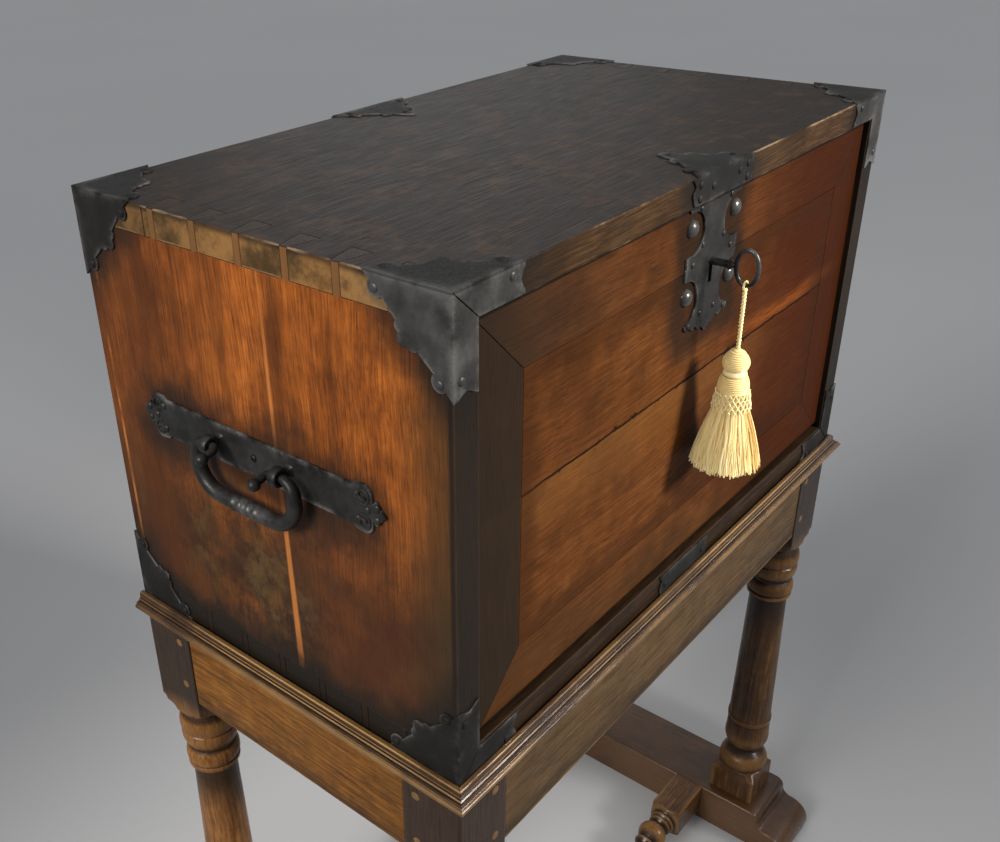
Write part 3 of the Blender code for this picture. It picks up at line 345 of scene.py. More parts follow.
def add_piece(name, points, faces, body, finish, sharp=0.7):
    """A piece from points and faces, turned outwards, in its place on a body."""
    mesh = bpy.data.meshes.new(name)
    mesh.from_pydata(points.reshape(-1, 3).tolist(), [], faces)
    work = bmesh.new()
    work.from_mesh(mesh)
    bmesh.ops.recalc_face_normals(work, faces=work.faces)
    work.to_mesh(mesh)
    work.free()
    mesh.shade_smooth()
    mesh.set_sharp_from_angle(angle=sharp)
    mesh.materials.append(finish)
    item = bpy.data.objects.new(name, mesh)
    bpy.context.scene.collection.objects.link(item)
    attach(item, body)
    return item


def points_at(*parts):
    """Points from their coordinates, each an array or a number."""
    return np.stack(np.broadcast_arrays(*parts), -1)


def grid_faces(rows, columns, wrap=False, start=0):
    """Four-sided faces between the neighbours of a grid; wrap closes it across its columns."""
    i = np.arange(rows - 1)[:, None]
    j = np.arange(columns if wrap else columns - 1)[None, :]
    k = (j + 1) % columns
    here, there = start + i * columns, start + (i + 1) * columns
    return points_at(here + j, here + k, there + k, there + j).reshape(-1, 4).tolist()


def tube_faces(rows, columns, start=0):
    """The faces of a closed skin of rings, with both ends filled."""
    first = list(range(start, start + columns))
    last = list(range(start + (rows - 1) * columns, start + rows * columns))
    return grid_faces(rows, columns, True, start) + [first, last[::-1]]


def many_tubes(points):
    """The faces of like tubes, all in one array of points."""
    count, rows, columns = points.shape[:3]
    return sum((tube_faces(rows, columns, k * rows * columns) for k in range(count)), [])


def arc(cx, cy, radius, start, end, count):
    """Points on a circle from one angle to another, in degrees."""
    a = np.radians(np.linspace(start, end, count))
    return points_at(cx + radius * np.cos(a), cy + radius * np.sin(a))


def wavy(values, pitch, seed):
    """A slow unevenness between -1 and 1: three sines whose pitches and phases come from a seed."""
    source = np.random.default_rng(seed)
    total = np.zeros_like(values)
    for share in (1.0, 0.47, 0.23):
        total = total + share * np.sin(2 * pi * values / (pitch * share) + source.uniform(0, 2 * pi))
    return total / 1.7


def set_attribute(item, name, values):
    """A number at each point of a piece, for its finish to read."""
    item.data.attributes.new(name, "FLOAT", "POINT").data.foreach_set("value", values.ravel().astype(np.float32))


def oak_finish(name, grain, shift, board=None, bare=0.0, rubbed=OAK_WORN, tones=OAK_TONES, black_from=None, wax=0.05):
    """Stained oak with grime in its hollows and golden wood where it is rubbed, by attribute or at a board's
    arrises. Black_from is a height over which it is black."""
    wood = start_wood(name, grain, shift, tones, 340.0)
    rub = wood.noise(9.0, 5.0)
    if board:
        worn = arrises(wood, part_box(board), 0.005)
        wood.stain(rub.ease(0.36, 0.64, 0.35, 1.0), OAK_WORN, bare)
        wood.stain(arrises(wood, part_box(board), 0.028), OAK_GRIME, 0.6)
    else:
        worn = wood.attribute("wear")
        wood.stain(wood.attribute("grime"), OAK_GRIME, 0.85)
    wood.stain(worn * rub.ease(0.30, 0.62), rubbed, 0.75)
    if black_from:
        [z] = wood.axes("z")
        wood.stain((0.06 * rub + z).ease(black_from, black_from + 0.05), OAK_GRIME, 0.92)
    return end_wood(wood, 0.40 - 0.2 * wax, wax, gloss=0.11 + 0.2 * wax)


def oak_piece(node, points, finish, wear, grime):
    """A shaped piece of the stand in place of its solid: a closed skin of rings, with how rubbed and how grimy
    each point is."""
    item = add_piece(f"oak_{node}", points, tube_faces(*points.shape[:2]), "frame", finish, 0.6)
    set_attribute(item, "wear", np.broadcast_to(wear, points.shape[:2]))
    set_attribute(item, "grime", np.broadcast_to(grime, points.shape[:2]))
    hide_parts(node)


FOOT_OVOLO = 0.014
FOOT_ARRIS = 0.0035
LEG_HALF = 0.035                 # half the side of a leg's square
foot_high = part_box("foot_left")[1]
leg_low, leg_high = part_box("leg_front_left")


def foot_outline():
    """Side view of a foot as (y, z), from the top round one toe, along the sole and back."""
    toe = foot_high.y
    top = foot_high.z
    flat = -leg_low.y + 0.0076
    shelf = top - 2 * FOOT_OVOLO
    reach = toe - flat - 2 * FOOT_OVOLO
    nose = shelf * 0.28
    a = np.radians(np.linspace(12, 90, 12))
    half = np.concatenate([
        points_at(np.linspace(0.02, flat - 0.01, 12), top),
        arc(flat, top - FOOT_OVOLO, FOOT_OVOLO, 90, 0, 10),
        arc(flat + 2 * FOOT_OVOLO, top - FOOT_OVOLO, FOOT_OVOLO, 192, 268, 10),
        points_at(toe - reach + reach * np.sin(a), nose + (shelf - nose) * np.cos(a)),
        arc(toe - 0.007, 0.007, 0.007, -8, -90, 6)])
    return np.concatenate([half, half[::-1] * (-1, 1)])


def block_along_x(outline, low, high, arris):
    """An outline carried along X and drawn in along its normals near both ends, by a quarter circle."""
    after = np.roll(outline, -1, 0) - np.roll(outline, 1, 0)
    normal = points_at(-after[:, 1], after[:, 0]) / np.linalg.norm(after, axis=1, keepdims=True)
    a = np.linspace(0, pi / 2, 5)
    inward = arris * (1 - np.cos(a))
    ease = arris * (1 - np.sin(a))
    x = np.concatenate([(low + ease)[::-1], high - ease])
    drawn = np.concatenate([inward[::-1], inward])
    flat = outline[None] - normal[None] * drawn[:, None, None]
    return np.concatenate([np.broadcast_to(x[:, None, None], (*flat.shape[:2], 1)), flat], -1)


def build_feet():
    outline = foot_outline()
    for side, shift in (("left", 0.3), ("right", 1.9)):
        low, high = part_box(f"foot_{side}")
        points = block_along_x(outline, low.x, high.x, FOOT_ARRIS)
        x, y, z = np.moveaxis(points, -1, 0)
        crest = np.exp(-np.minimum(x - low.x, high.x - x) / 0.003) + np.exp(-np.abs(np.abs(y) - high.y) / 0.012)
        finish = oak_finish(f"foot_oak_{side}", ALONG_Y, shift, rubbed=FOOT_WORN, tones=FOOT_TONES, wax=0.5)
        oak_piece(f"foot_{side}", points, finish, np.clip(crest, 0, 1), np.clip(1 - z / 0.012, 0, 1) * 0.7)


build_feet()


# Legs: four oak bars, left square at the head for the aprons and at the foot for the tenon, and turned
# between with beads, a tapered column, a cup and a neck. Hands and dusters have rubbed the crests golden.

# Lighter tones for the left legs, which paint them as lit.
LIT_LEG_TONES = ((0.034, 0.0135, 0.0034), (0.200, 0.0830, 0.0200), (0.38, 0.175, 0.049))
POST_FOOT = 0.568                # where the square post ends
COLUMN_HEAD = 0.0265
COLUMN_FOOT = 0.0315
BLOCK = 0.041                    # height of the square over the foot
DOME = 0.009
HEAD_TURNING = (                 # drop, end radius, swell
    (0.020, 0.0285, 0), (0.028, 0.0338, 0.0030), (0.0015, 0.0322, 0), (0.0015, 0.0336, 0),
    (0.0240, 0.0280, 0.0028), (0.003, 0.0278, 0), (0.013, 0.0325, 0.0014), (0.010, 0.0298, 0.0010),
    (0.001, 0.0316, 0), (0.004, 0.0316, 0), (0.006, COLUMN_HEAD, 0))
FOOT_TURNING = (
    (0.0008, 0.0330, 0), (0.006, 0.0330, 0), (0.002, 0.0312, 0), (0.003, 0.0320, 0),
    (0.020, 0.0326, 0), (0.034, 0.0228, 0.0046), (0.004, 0.0230, 0), (0.030, 0.0352, 0.0066),
    (0.0015, 0.0345, 0), (0.0015, 0.0365, 0))
ARRIS_POWER = 46                 # how sharp a square bar's arrises are


def turning(radius, height, members):
    """A turner's profile: each member drops to a new radius, swelling or hollowed by half a sine."""
    profile = [np.array([[radius, height]])]
    for drop, end, swell in members:
        t = np.linspace(0, 1, 12 if swell else 4)[1:]
        profile.append(points_at(radius + (end - radius) * t + swell * np.sin(pi * t), height - drop * t))
        radius = end
        height -= drop
    return np.concatenate(profile)


def turned_bar(profile, half):
    """A bar turned from the square, as (u, v, along). At each angle its reach is the smaller of the profile's
    radius and the square's own, half over the high-power norm of the angle's sine and cosine."""
    u = np.linspace(0, 2 * pi, 104, endpoint=False)
    angle = u + 0.17 * np.sin(4 * u)
    c, s = np.cos(angle), np.sin(angle)
    square = half / (np.abs(c) ** ARRIS_POWER + np.abs(s) ** ARRIS_POWER) ** (1 / ARRIS_POWER)
    reach = np.minimum(profile[:, :1], square[None])
    points = points_at(reach * c, reach * s, profile[:, 1:])
    skin = np.minimum(profile[:, 0], half)
    ridge = skin - np.convolve(np.pad(skin, 7, mode="edge"), np.ones(15) / 15, "valid")
    arris = np.clip((reach / half - 1.27) / 0.12, 0, 1)
    wear = np.clip(ridge[:, None] / 0.0016, 0, 1) + arris
    grime = np.clip(-ridge[:, None] / 0.0018, 0, 1)
    return points, np.clip(wear, 0, 1), grime


def leg_profile():
    corner = LEG_HALF * sqrt(2) + 0.002
    block_head = foot_high.z + BLOCK
    cup = block_head + DOME + sum(member[0] for member in FOOT_TURNING)
    post = points_at(corner, np.linspace(leg_high.z, POST_FOOT + 0.004, 10))
    column = turning(corner, POST_FOOT, HEAD_TURNING)
    shaft = points_at(np.linspace(COLUMN_HEAD, COLUMN_FOOT, 22), np.linspace(column[-1, 1], cup, 22))[1:-1]
    block = points_at(corner, np.linspace(block_head, foot_high.z + 0.0003, 6))
    return np.concatenate([post, column, shaft, turning(COLUMN_FOOT, cup, FOOT_TURNING), block])


def build_legs():
    points, wear, grime = turned_bar(leg_profile(), LEG_HALF)
    for shift, name in enumerate(("front_left", "front_right", "back_left", "back_right")):
        low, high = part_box(f"leg_{name}")
        # Painted light and shade: the left legs take the lighter tones, as lit, and the right legs the darker oak
        # tones, as shaded.
        tones = LIT_LEG_TONES if "left" in name else OAK_TONES
        finish = oak_finish(f"leg_oak_{name}", ALONG_Z, 0.7 + 1.3 * shift, tones=tones, black_from=POST_FOOT, wax=0.2)
        oak_piece(f"leg_{name}", points + ((low.x + high.x) / 2, (low.y + high.y) / 2, 0.0), finish, wear, grime)


build_legs()


# Stretchers: two turned oak rails between the feet, with square ends, rings, balls and long balusters. Their square
# ends are tenoned into the feet's inner sides.

STRETCHER_HALF = 0.024
STRETCHER_BLOCK = 0.070
MIDDLE_BALL = 0.020
RINGS = (                        # drop, end radius and swell as shares of the half side
    (0.010, 0.85, 0.04), (0.002, 0.74, 0), (0.006, 0.74, 0.10), (0.002, 0.66, 0), (0.005, 0.66, 0.10),
    (0.003, 0.52, 0), (0.036, 0.52, 0.42), (0.003, 0.60, 0), (0.006, 0.60, 0.10), (0.003, 0.46, 0))


def stretcher_profile(half):
    r = STRETCHER_HALF
    members = [(drop, end * r, swell * r) for drop, end, swell in RINGS]
    used = STRETCHER_BLOCK + sum(member[0] for member in members)
    members += [(half - used - MIDDLE_BALL, 0.62 * r, 0.24 * r), (0.002, 0.52 * r, 0)]
    corner = r * sqrt(2) + 0.002
    t = np.linspace(0.1, pi / 2, 12)
    ball = points_at(r * (0.52 + 0.40 * np.sin(t)), (MIDDLE_BALL - 0.002) * (1 - t / (pi / 2)))
    end = points_at(corner, np.linspace(half, half - STRETCHER_BLOCK + 0.002, 6))
    right = np.concatenate([end, turning(corner, half - STRETCHER_BLOCK, members), ball])
    return np.concatenate([right, right[-2::-1] * (1, -1)])


def build_stretchers():
    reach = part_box("foot_right")[0].x - 0.0003
    points, wear, grime = turned_bar(stretcher_profile(reach), STRETCHER_HALF)
    for shift, end in enumerate(("front", "back")):
        low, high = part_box(f"stretcher_{end}")
        middle = (0.0, (low.y + high.y) / 2, (low.z + high.z) / 2)
        finish = oak_finish(f"stretcher_oak_{end}", ALONG_X, 5.1 + 1.7 * shift, wax=0.3)
        oak_piece(f"stretcher_{end}", points[..., [2, 0, 1]] + middle, finish, wear, grime)


build_stretchers()


# Aprons: four oak boards tenoned into the posts a hair behind their faces. Rubbing has bared lighter wood
# in their middles, and each joint is pinned with two round pegs of pale oak, cut off flush.

FRONT_APRON_TONES_AND_SHADE = ((0.010, 0.0060, 0.0024), (0.056, 0.0325, 0.0125), (0.120, 0.0710, 0.0280))
APRON_TONES = ((0.014, 0.0055, 0.0012), (0.160, 0.0580, 0.0055), (0.340, 0.1450, 0.0240))
PEG_RADIUS = 0.0048
PEG_HEIGHT = 0.0006
PEG_HEIGHTS = (0.669, 0.609)
PEG_INSET = 0.017                # a peg's middle from the post's inner arris
PEG_PALE = (0.21, 0.115, 0.043)


def dress(node, finish):
    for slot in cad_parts[node].material_slots:
        slot.material = finish


def ease_board(node, finish, arris):
    """Finishes a sawn board: its triangles become whole faces, its arrises are rounded, and it is waxed."""
    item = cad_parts[node]
    weld = item.modifiers.new("whole", "WELD")
    weld.merge_threshold = 0.00001
    flat = item.modifiers.new("flat", "DECIMATE")
    flat.decimate_type = "DISSOLVE"
    flat.angle_limit = radians(0.5)
    rounding = item.modifiers.new("arris", "BEVEL")
    rounding.width = arris
    rounding.segments = 2
    rounding.limit_method = "ANGLE"
    rounding.angle_limit = radians(40)
    item.modifiers.new("shade", "WEIGHTED_NORMAL")
    dress(node, finish)


def domes(name, places, outward, radius, height, body, finish, slot, sink=0.0004, sides=12):
    """Round heads, all alike: rings at radius times sine and height times cosine of one angle, on their normals."""
    places = np.asarray(places, float)
    outward = np.broadcast_to(np.asarray(outward, float), places.shape)
    helper = np.where(np.abs(outward[:, 2:]) > 0.9, (1.0, 0, 0), (0, 0, 1.0))
    first = np.cross(helper, outward)
    first /= np.linalg.norm(first, axis=1, keepdims=True)
    second = np.cross(outward, first)
    tilt = np.radians([12, 38, 64, 90, 90])
    reach = radius * np.sin(tilt)
    lift = height * np.cos(tilt) - np.array([0, 0, 0, 0, sink])
    turn = np.arange(sides) * 2 * pi / sides
    ring = (np.cos(turn)[:, None] * first[:, None, None] + np.sin(turn)[:, None] * second[:, None, None])
    points = places[:, None, None] + reach[:, None, None] * ring + lift[:, None, None] * outward[:, None, None]
    return add_piece(name, points, many_tubes(points), body, finish, 0.9)


def build_aprons():
    for shift, end in enumerate(("front", "back", "left", "right")):
        grain = ALONG_X if end in ("front", "back") else ALONG_Y
        # The front apron takes darker tones: its own olive brown, darkened further as painted shade.
        tones = FRONT_APRON_TONES_AND_SHADE if end == "front" else APRON_TONES
        finish = oak_finish(f"apron_oak_{end}", grain, 9.0 + shift, f"apron_{end}", 0.15, tones=tones)
        ease_board(f"apron_{end}", finish, 0.0012)
    face_x, face_y = -leg_low.x, -leg_low.y
    inner_x = face_x - 2 * LEG_HALF + PEG_INSET
    inner_y = face_y - 2 * LEG_HALF + PEG_INSET
    spots = [(sx, sy, z) for sx in (-1, 1) for sy in (-1, 1) for z in PEG_HEIGHTS]
    places = [(sx * face_x, sy * inner_y, z) for sx, sy, z in spots]
    places += [(sx * inner_x, sy * face_y, z) for sx, sy, z in spots]
    normals = [(sx, 0, 0) for sx, sy, z in spots] + [(0, sy, 0) for sx, sy, z in spots]
    wood = start_wood("peg_oak", ALONG_X, 2.2, OAK_TONES, 300.0)
    wood.stain(wood.figure["Cloud"], PEG_PALE, 1.25)
    domes("pegs", places, normals, PEG_RADIUS, PEG_HEIGHT, "frame", end_wood(wood, 0.45, 0.2), "stand_oak")


build_aprons()


# Moulding: oak strips round the foot of the chest with a fillet, a reeded hollow, a quirk and a bead, mitred at the
# front corners and cut square at the back. Its high edges are rubbed golden and its quirk is black with wax.

SIDES = (("left", -1), ("right", 1))
MOULDING_LIP = 0.0050
MOULDING_COVE = 0.0080
MOULDING_BEAD = 0.0029
MOULDING_FILLET = 0.0030
MOULDING_REED = 0.0010          # depth of the grooves between the reeds
MOULDING_STEPS = 90
MOULDING_TONES = ((0.008, 0.0036, 0.0014), (0.040, 0.0175, 0.0056), (0.110, 0.0520, 0.0170))


def moulding_section(top):
    """Section as (out, height), with how much each point is rubbed and how much grime it holds."""
    bead_z = top - MOULDING_FILLET - MOULDING_COVE - 0.0015 - MOULDING_BEAD
    quirk = MOULDING_LIP + MOULDING_COVE - 0.0012
    angle = np.linspace(184, 255, 40)
    groove = np.exp(-((angle - 209) / 3.5) ** 2) + np.exp(-((angle - 233) / 3.5) ** 2)
    crest = np.exp(-((angle - 200) / 3) ** 2) + np.exp(-((angle - 222) / 4) ** 2)
    turn = np.radians(angle)
    reach = MOULDING_COVE + MOULDING_REED * groove
    hollow = points_at(MOULDING_LIP + 0.0010 + MOULDING_COVE + reach * np.cos(turn),
                       top - MOULDING_FILLET + reach * np.sin(turn))
    parts = [
        (np.array([[0.0003, bead_z - MOULDING_BEAD], [0.0003, top - 0.0006]]), 0.0, 0.6),
        (np.array([[0.0010, top], [MOULDING_LIP - 0.0006, top]]), 0.25, 0.0),
        (np.array([[MOULDING_LIP + 0.0001, top - 0.0003], [MOULDING_LIP + 0.0005, top - 0.0009]]), 1.0, 0.0),
        (np.array([[MOULDING_LIP + 0.0008, top - 0.0018]]), 0.1, 0.9),
        (hollow, 0.9 * crest, 0.35 * (1 - crest) + 0.65 * groove),
        (np.array([[MOULDING_LIP + MOULDING_COVE - 0.0006, top - 0.0031 - MOULDING_COVE]]), 1.0, 0.0),
        (np.array([[quirk, top - 0.0035 - MOULDING_COVE], [quirk - 0.0004, top - 0.0041 - MOULDING_COVE]]), 0.0, 1.0),
        (arc(quirk, bead_z, MOULDING_BEAD, 75, -80, 12), 0.45, 0.0),
        (np.array([[quirk - 0.0009, bead_z - MOULDING_BEAD]]), 0.2, 0.2)]
    worn, dirt = (np.concatenate([np.broadcast_to(part[k], len(part[0])) for part in parts]) for k in (1, 2))
    return np.concatenate([part[0] for part in parts]), worn, dirt


def build_mouldings():
    section, worn, dirt = moulding_section(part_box("moulding_front")[1].z)
    out, height = section.T
    half_x, half_y = -leg_low.x, -leg_low.y
    mitre = 0.0003 * sqrt(0.5)
    t = np.linspace(-1, 1, MOULDING_STEPS)[:, None]
    sag = 0.00025 * worn * wavy(t, 0.21, 5)
    front = -half_y - out
    runs = {"front": (t * (half_x + out - mitre), front + np.abs(sag))}
    for side, sx in SIDES:
        runs[side] = (sx * (half_x + out - np.abs(sag)), half_y + (front + mitre - half_y) * (1 + t) / 2)
    for shift, (side, (x, y)) in enumerate(runs.items()):
        points = points_at(x, y, height + 0.6 * sag)
        ahead = side == "front"
        finish = oak_finish(f"moulding_oak_{side}", ALONG_X if ahead else ALONG_Y, 13.0 + shift, rubbed=OAK_GOLD,
                            tones=MOULDING_TONES, wax=0.9 if ahead else 0.3)
        oak_piece(f"moulding_{side}", points, finish, worn, dirt)


build_mouldings()


# Case: top and bottom boards are dovetailed through the sides, and the back is let in between them. The sides
# are red walnut with upright grain, stained black round the iron, and dull at the foot with damp and with painted
# shade.

SIDE_TONES = ((0.055, 0.0160, 0.0034), (0.250, 0.0670, 0.0092), (0.460, 0.1420, 0.0215))
SIDE_DULL = (0.028, 0.0185, 0.0078)
SIDE_WINE = (0.058, 0.0165, 0.0050)
SIDE_PALE = (0.034, 0.021, 0.0085)
SIDE_MOSS = (0.095, 0.056, 0.019)
PIN_BROWN = (0.140, 0.072, 0.027)
TAIL_GREY = (0.190, 0.140, 0.082)
IRON_BLACK = (0.010, 0.0075, 0.0055)
CRACK_AND_GAP_SHADE = (0.004, 0.003, 0.002)
STREAK_GOLD = (0.44, 0.155, 0.034)
TAIL_OCHRE = (0.265, 0.134, 0.044)
TOP_TONES = ((0.0100, 0.0074, 0.0060), (0.0145, 0.0106, 0.0084), (0.0215, 0.0150, 0.0112))
EDGE_TONES = ((0.008, 0.0040, 0.0017), (0.044, 0.0205, 0.0066), (0.120, 0.0590, 0.0195))
BOTTOM_TONES = ((0.006, 0.0035, 0.002), (0.016, 0.0085, 0.004), (0.045, 0.0225, 0.0090))
BACK_TONES = ((0.022, 0.011, 0.006), (0.070, 0.034, 0.015), (0.14, 0.075, 0.033))
TOP_BROWN = (0.040, 0.0210, 0.0115)
TOP_RUBBED = (0.30, 0.20, 0.11)
SEAM_BLACK = (0.003, 0.002, 0.002)
TOP_SEAM = 0.124                 # joint of the top's two boards
case_low, case_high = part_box("case_top")
side_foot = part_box("case_side_left")[0].z
handle_low, handle_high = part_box("handle_plate_left")


def ragged_mask(group, place, share, scale, ragged):
    """One where a share is nothing, falling to nothing where it is one, with a rim that a noise has broken."""
    rim = noise(group, place, scale, 5.0) - 0.5
    return (ragged * rim + share).ease(0.0, 1.0, 1.0, 0.0)


def make_near_block():
    """How near a point is to a block: one on it, falling to nothing at the reach, with a ragged rim."""
    group, given, result = new_group(
        "near_block", {"Vector": (0, 0, 0), "Centre": (0, 0, 0), "Half": (1, 1, 1), "Reach": 0.03}, ("Mask",))
    place = given["Vector"]
    past = vector_sum(group, "SUBTRACT", off_from(group, place, given["Centre"]), given["Half"])
    past = vector_sum(group, "MAXIMUM", past, (0, 0, 0))
    gap = Tone(put(group, "VectorMath", {0: past}, operation="LENGTH").outputs["Value"])
    fill(result, {"Mask": ragged_mask(group, place, gap / given["Reach"], 24.0, 1.3)})
    return group


def make_near_corner():
    """How near a point of a side is to a corner's cut leaf, measured along the two edges together."""
    group, given, result = new_group(
        "near_corner", {"Vector": (0, 0, 0), "Corner": (0, 0, 0), "Leaf": 0.085, "Reach": 0.04}, ("Mask",))
    place = given["Vector"]
    off = off_from(group, place, given["Corner"])
    both = Tone(put(group, "VectorMath", {0: off, 1: (0, 1, 1)}, operation="DOT_PRODUCT").outputs["Value"])
    past = (both - given["Leaf"]) / given["Reach"]
    fill(result, {"Mask": ragged_mask(group, place, past, 30.0, 1.2)})
    return group


near_block = make_near_block()
near_corner = make_near_corner()


def by_block(finish, centre, half, reach):
    return finish.effect(near_block, Centre=centre, Half=half, Reach=reach)["Mask"]


def side_finish(side, sx):
    """Red walnut with a gold streak: dark bands to the back, stains round the iron, a foot mottled black and olive
    with damp and darkened further as painted shade, front edges painted black as shade and iron stain, and dull
    joints at the head."""
    wood = start_wood(f"side_walnut_{side}", ALONG_Z, 3.0 + sx, SIDE_TONES, 520.0)
    y, z = wood.axes("yz")
    smudge, moss, blot = wood.noise(10.0, 8.0, 0.68), wood.noise(17.0, 9.0, 0.72), wood.noise(21.0, 9.0, 0.74)
    # Painted shade together with damp stain: the sides darken towards the foot.
    low = (z - 0.16 * smudge).ease(side_foot + 0.22, side_foot + 0.03)
    wood.stain(low * smudge.ease(0.36, 0.58, 0.62, 1.0), SIDE_DULL, 0.94)
    wood.stain(low * blot.ease(0.47, 0.60), IRON_BLACK, 0.75)
    wood.stain(smudge.ease(0.50, 0.64), SIDE_WINE, 0.4)
    wood.stain(z.ease(side_foot + 0.28, side_foot + 0.12) * moss.ease(0.50, 0.64), SIDE_MOSS, 0.7)
    wood.stain(y.ease(-0.01, -0.09) * z.ease(side_foot + 0.25, side_foot + 0.13), SIDE_WINE, 0.7)
    wood.stain(y.ease(0.0, 0.16) * wood.figure["Cloud"].ease(0.40, 0.58, 0.55, 1.0), SIDE_TONES[0], 0.88)
    drawn = vector_sum(wood.tree, "MULTIPLY", wood.place, (1.0, 1.0, 0.12))
    drip = noise(wood.tree, drawn, 24.0, 5.0).ease(0.52, 0.66)
    wood.stain(drip * z.ease(0.98, 1.10, 0.25, 1.0), SIDE_TONES[0], 0.7)
    wood.stain((0.07 * smudge + y).ease(-0.185, -0.120, 1.0, 0.0), SIDE_PALE, 0.85)

    lean = 0.022 * z + (0.006 * wood.noise(5.0, 1.0) + -0.049)
    gold = (abs(y - lean) / (-0.0075 * z + 0.0102)).ease(0.5, 1.2, 1.0, 0.0)
    wood.stain(gold * z.ease(1.15, 1.05, 0.35, 1.0), STREAK_GOLD, 0.75)
    wood.stain(abs(y - 0.213).ease(0.0008, 0.0028, 1.0, 0.0) * smudge.ease(0.40, 0.60), STREAK_GOLD, 0.7)

    middle = (handle_low + handle_high) / 2
    rim = by_block(wood, (sx * case_high.x, middle.y, middle.z - 0.006), (0.05, 0.140, 0.020), 0.050)
    for cy, cz, reach in ((case_low.y, case_high.z, 0.055), (case_high.y, case_high.z, 0.05),
                          (case_low.y, side_foot, 0.06), (case_high.y, side_foot, 0.06)):
        rim = rim | wood.effect(near_corner, Corner=(sx * case_high.x, cy, cz), Reach=reach)["Mask"]
    wood.stain(rim, IRON_BLACK, 0.86)
    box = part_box(f"case_side_{side}")
    foot = ((box[0] + box[1]) / 2).xy.to_3d() + Vector((0, 0, side_foot))
    wood.stain(by_block(wood, foot, (0.02, 0.23, 0.026), 0.05), IRON_BLACK, 0.94)
    # The front edges of the sides are painted black: partly iron stain, partly painted shade.
    wood.stain((0.004 * smudge + y).ease(case_low.y + 0.0055, case_low.y + 0.0095, 1.0, 0.0), IRON_BLACK, 0.9)
    pin = z.ease(case_low.z - 0.0006, case_low.z + 0.0006)
    wood.stain(pin, PIN_BROWN, 0.85)
    wood.stain(pin * z.ease(case_high.z - 0.0012, case_high.z - 0.0004), TOP_TONES[1], 0.95)
    wood.stain(arrises(wood, box, 0.002) * z.ease(1.15, 1.14), PIN_BROWN, 0.12)
    return end_wood(wood, 0.44, 0.04, 0.0005)


def top_finish():
    """Nearly black walnut; ochre end grain on the tails, a rubbed front edge and a joint along the boards. The
    tails' colour is made up first, over bare wood, and laid on the board."""
    wood = start_wood("top_walnut", ALONG_X, 6.4, TOP_TONES, 520.0, 0.28)
    x, y, z = wood.axes("xyz")
    rub, grain = wood.noise(13.0, 5.0, 0.6), wood.noise(48.0, 8.0, 0.7)
    bare = wood.ramp(0.6 * wood.figure["Streak"] + 0.5 * rub, (0.40, 0.56, 0.72), EDGE_TONES)
    board, wood.colour = wood.colour, bare
    wood.stain(grain.ease(0.34, 0.58, 0.35, 1.0), TAIL_OCHRE, 0.9)
    wood.stain(rub.ease(0.46, 0.62), SIDE_DULL, 0.85)
    wood.stain(y.ease(-0.02, 0.20), SIDE_DULL, 0.55)
    wood.stain(y.ease(-0.11, -0.19), TAIL_GREY, 0.5)
    wood.stain((0.008 * grain + z).ease(case_high.z - 0.003, case_high.z + 0.003), TOP_TONES[1], 0.8)

    tails, wood.colour = wood.colour, board
    wood.stain(wood.figure["Mottle"].ease(0.50, 0.64), TOP_BROWN, 0.7)
    face = (0.004 * rub + y).ease(case_low.y + 0.0016, case_low.y + 0.0035, 1.0, 0.0)
    wood.stain(face, bare)
    wood.stain(abs(x).ease(case_high.x - 0.0012, case_high.x - 0.0003), tails)
    wood.stain((abs(y - TOP_SEAM) - 0.0006 * rub).ease(0.0002, 0.0009, 1.0, 0.0), SEAM_BLACK, 0.9)
    wood.stain(arrises(wood, (case_low, case_high), 0.0022) * rub.ease(0.45, 0.6), TOP_RUBBED, 0.7)
    # Painted shadow: a black band along the foot of the front edge, in the gap over the fall.
    wood.stain(face * z.ease(case_low.z + 0.0012, case_low.z + 0.0026, 1.0, 0.0), CRACK_AND_GAP_SHADE, 0.9)
    for cx, half in ((case_low.x, 0.10), (case_high.x, 0.09), (0.0, 0.062)):
        near = by_block(wood, (cx, case_low.y, (case_low.z + case_high.z) / 2), (half, 0.002, 0.03), 0.035)
        wood.stain(near * face, IRON_BLACK, 0.8)
    return end_wood(wood, 0.46, 0.0, 0.0002)


def plain_walnut(name, grain, shift, tones, node, rough=0.42):
    """Walnut of the case's less seen boards, rubbed a little at the arrises and dull where it meets the sides."""
    wood = start_wood(name, grain, shift, tones, 260.0)
    wood.stain(arrises(wood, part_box(node), 0.003), tones[2], 0.5)
    [x] = wood.axes("x")
    wood.stain(abs(x).ease(case_high.x - 0.002, case_high.x - 0.001), IRON_BLACK, 0.94)
    return end_wood(wood, rough, 0.06)


def build_case():
    for side, sx in SIDES:
        ease_board(f"case_side_{side}", side_finish(side, sx), 0.0008)
    ease_board("case_top", top_finish(), 0.0010)
    ease_board("case_bottom", plain_walnut("bottom_walnut", ALONG_X, 7.7, BOTTOM_TONES, "case_bottom"), 0.0008)
    ease_board("case_back", plain_walnut("back_walnut", ALONG_X, 8.8, BACK_TONES, "case_back"), 0.0008)


build_case()


# Pigeonholes: a plain walnut shelf with dividers above and below it, housed in the case. Their front edges
# sweep back in an ogee, and handling has darkened them.

NEST_TONES = ((0.060, 0.028, 0.012), (0.155, 0.078, 0.033), (0.27, 0.150, 0.066))


def build_nest():
    for shift, node in enumerate(sorted(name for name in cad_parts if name.startswith("nest_"))):
        grain = ALONG_X if node == "nest_shelf" else ALONG_Y
        ease_board(node, plain_walnut(f"{node}_walnut", grain, 17.0 + 0.9 * shift, NEST_TONES, node, 0.5), 0.0008)


build_nest()


# Corner mounts: sheet iron folded round the case's eight corners and nailed on. The leaves end in nail lobes
# and a trefoil; on the front, narrow strips turn round the edges and meet in an open mitre.

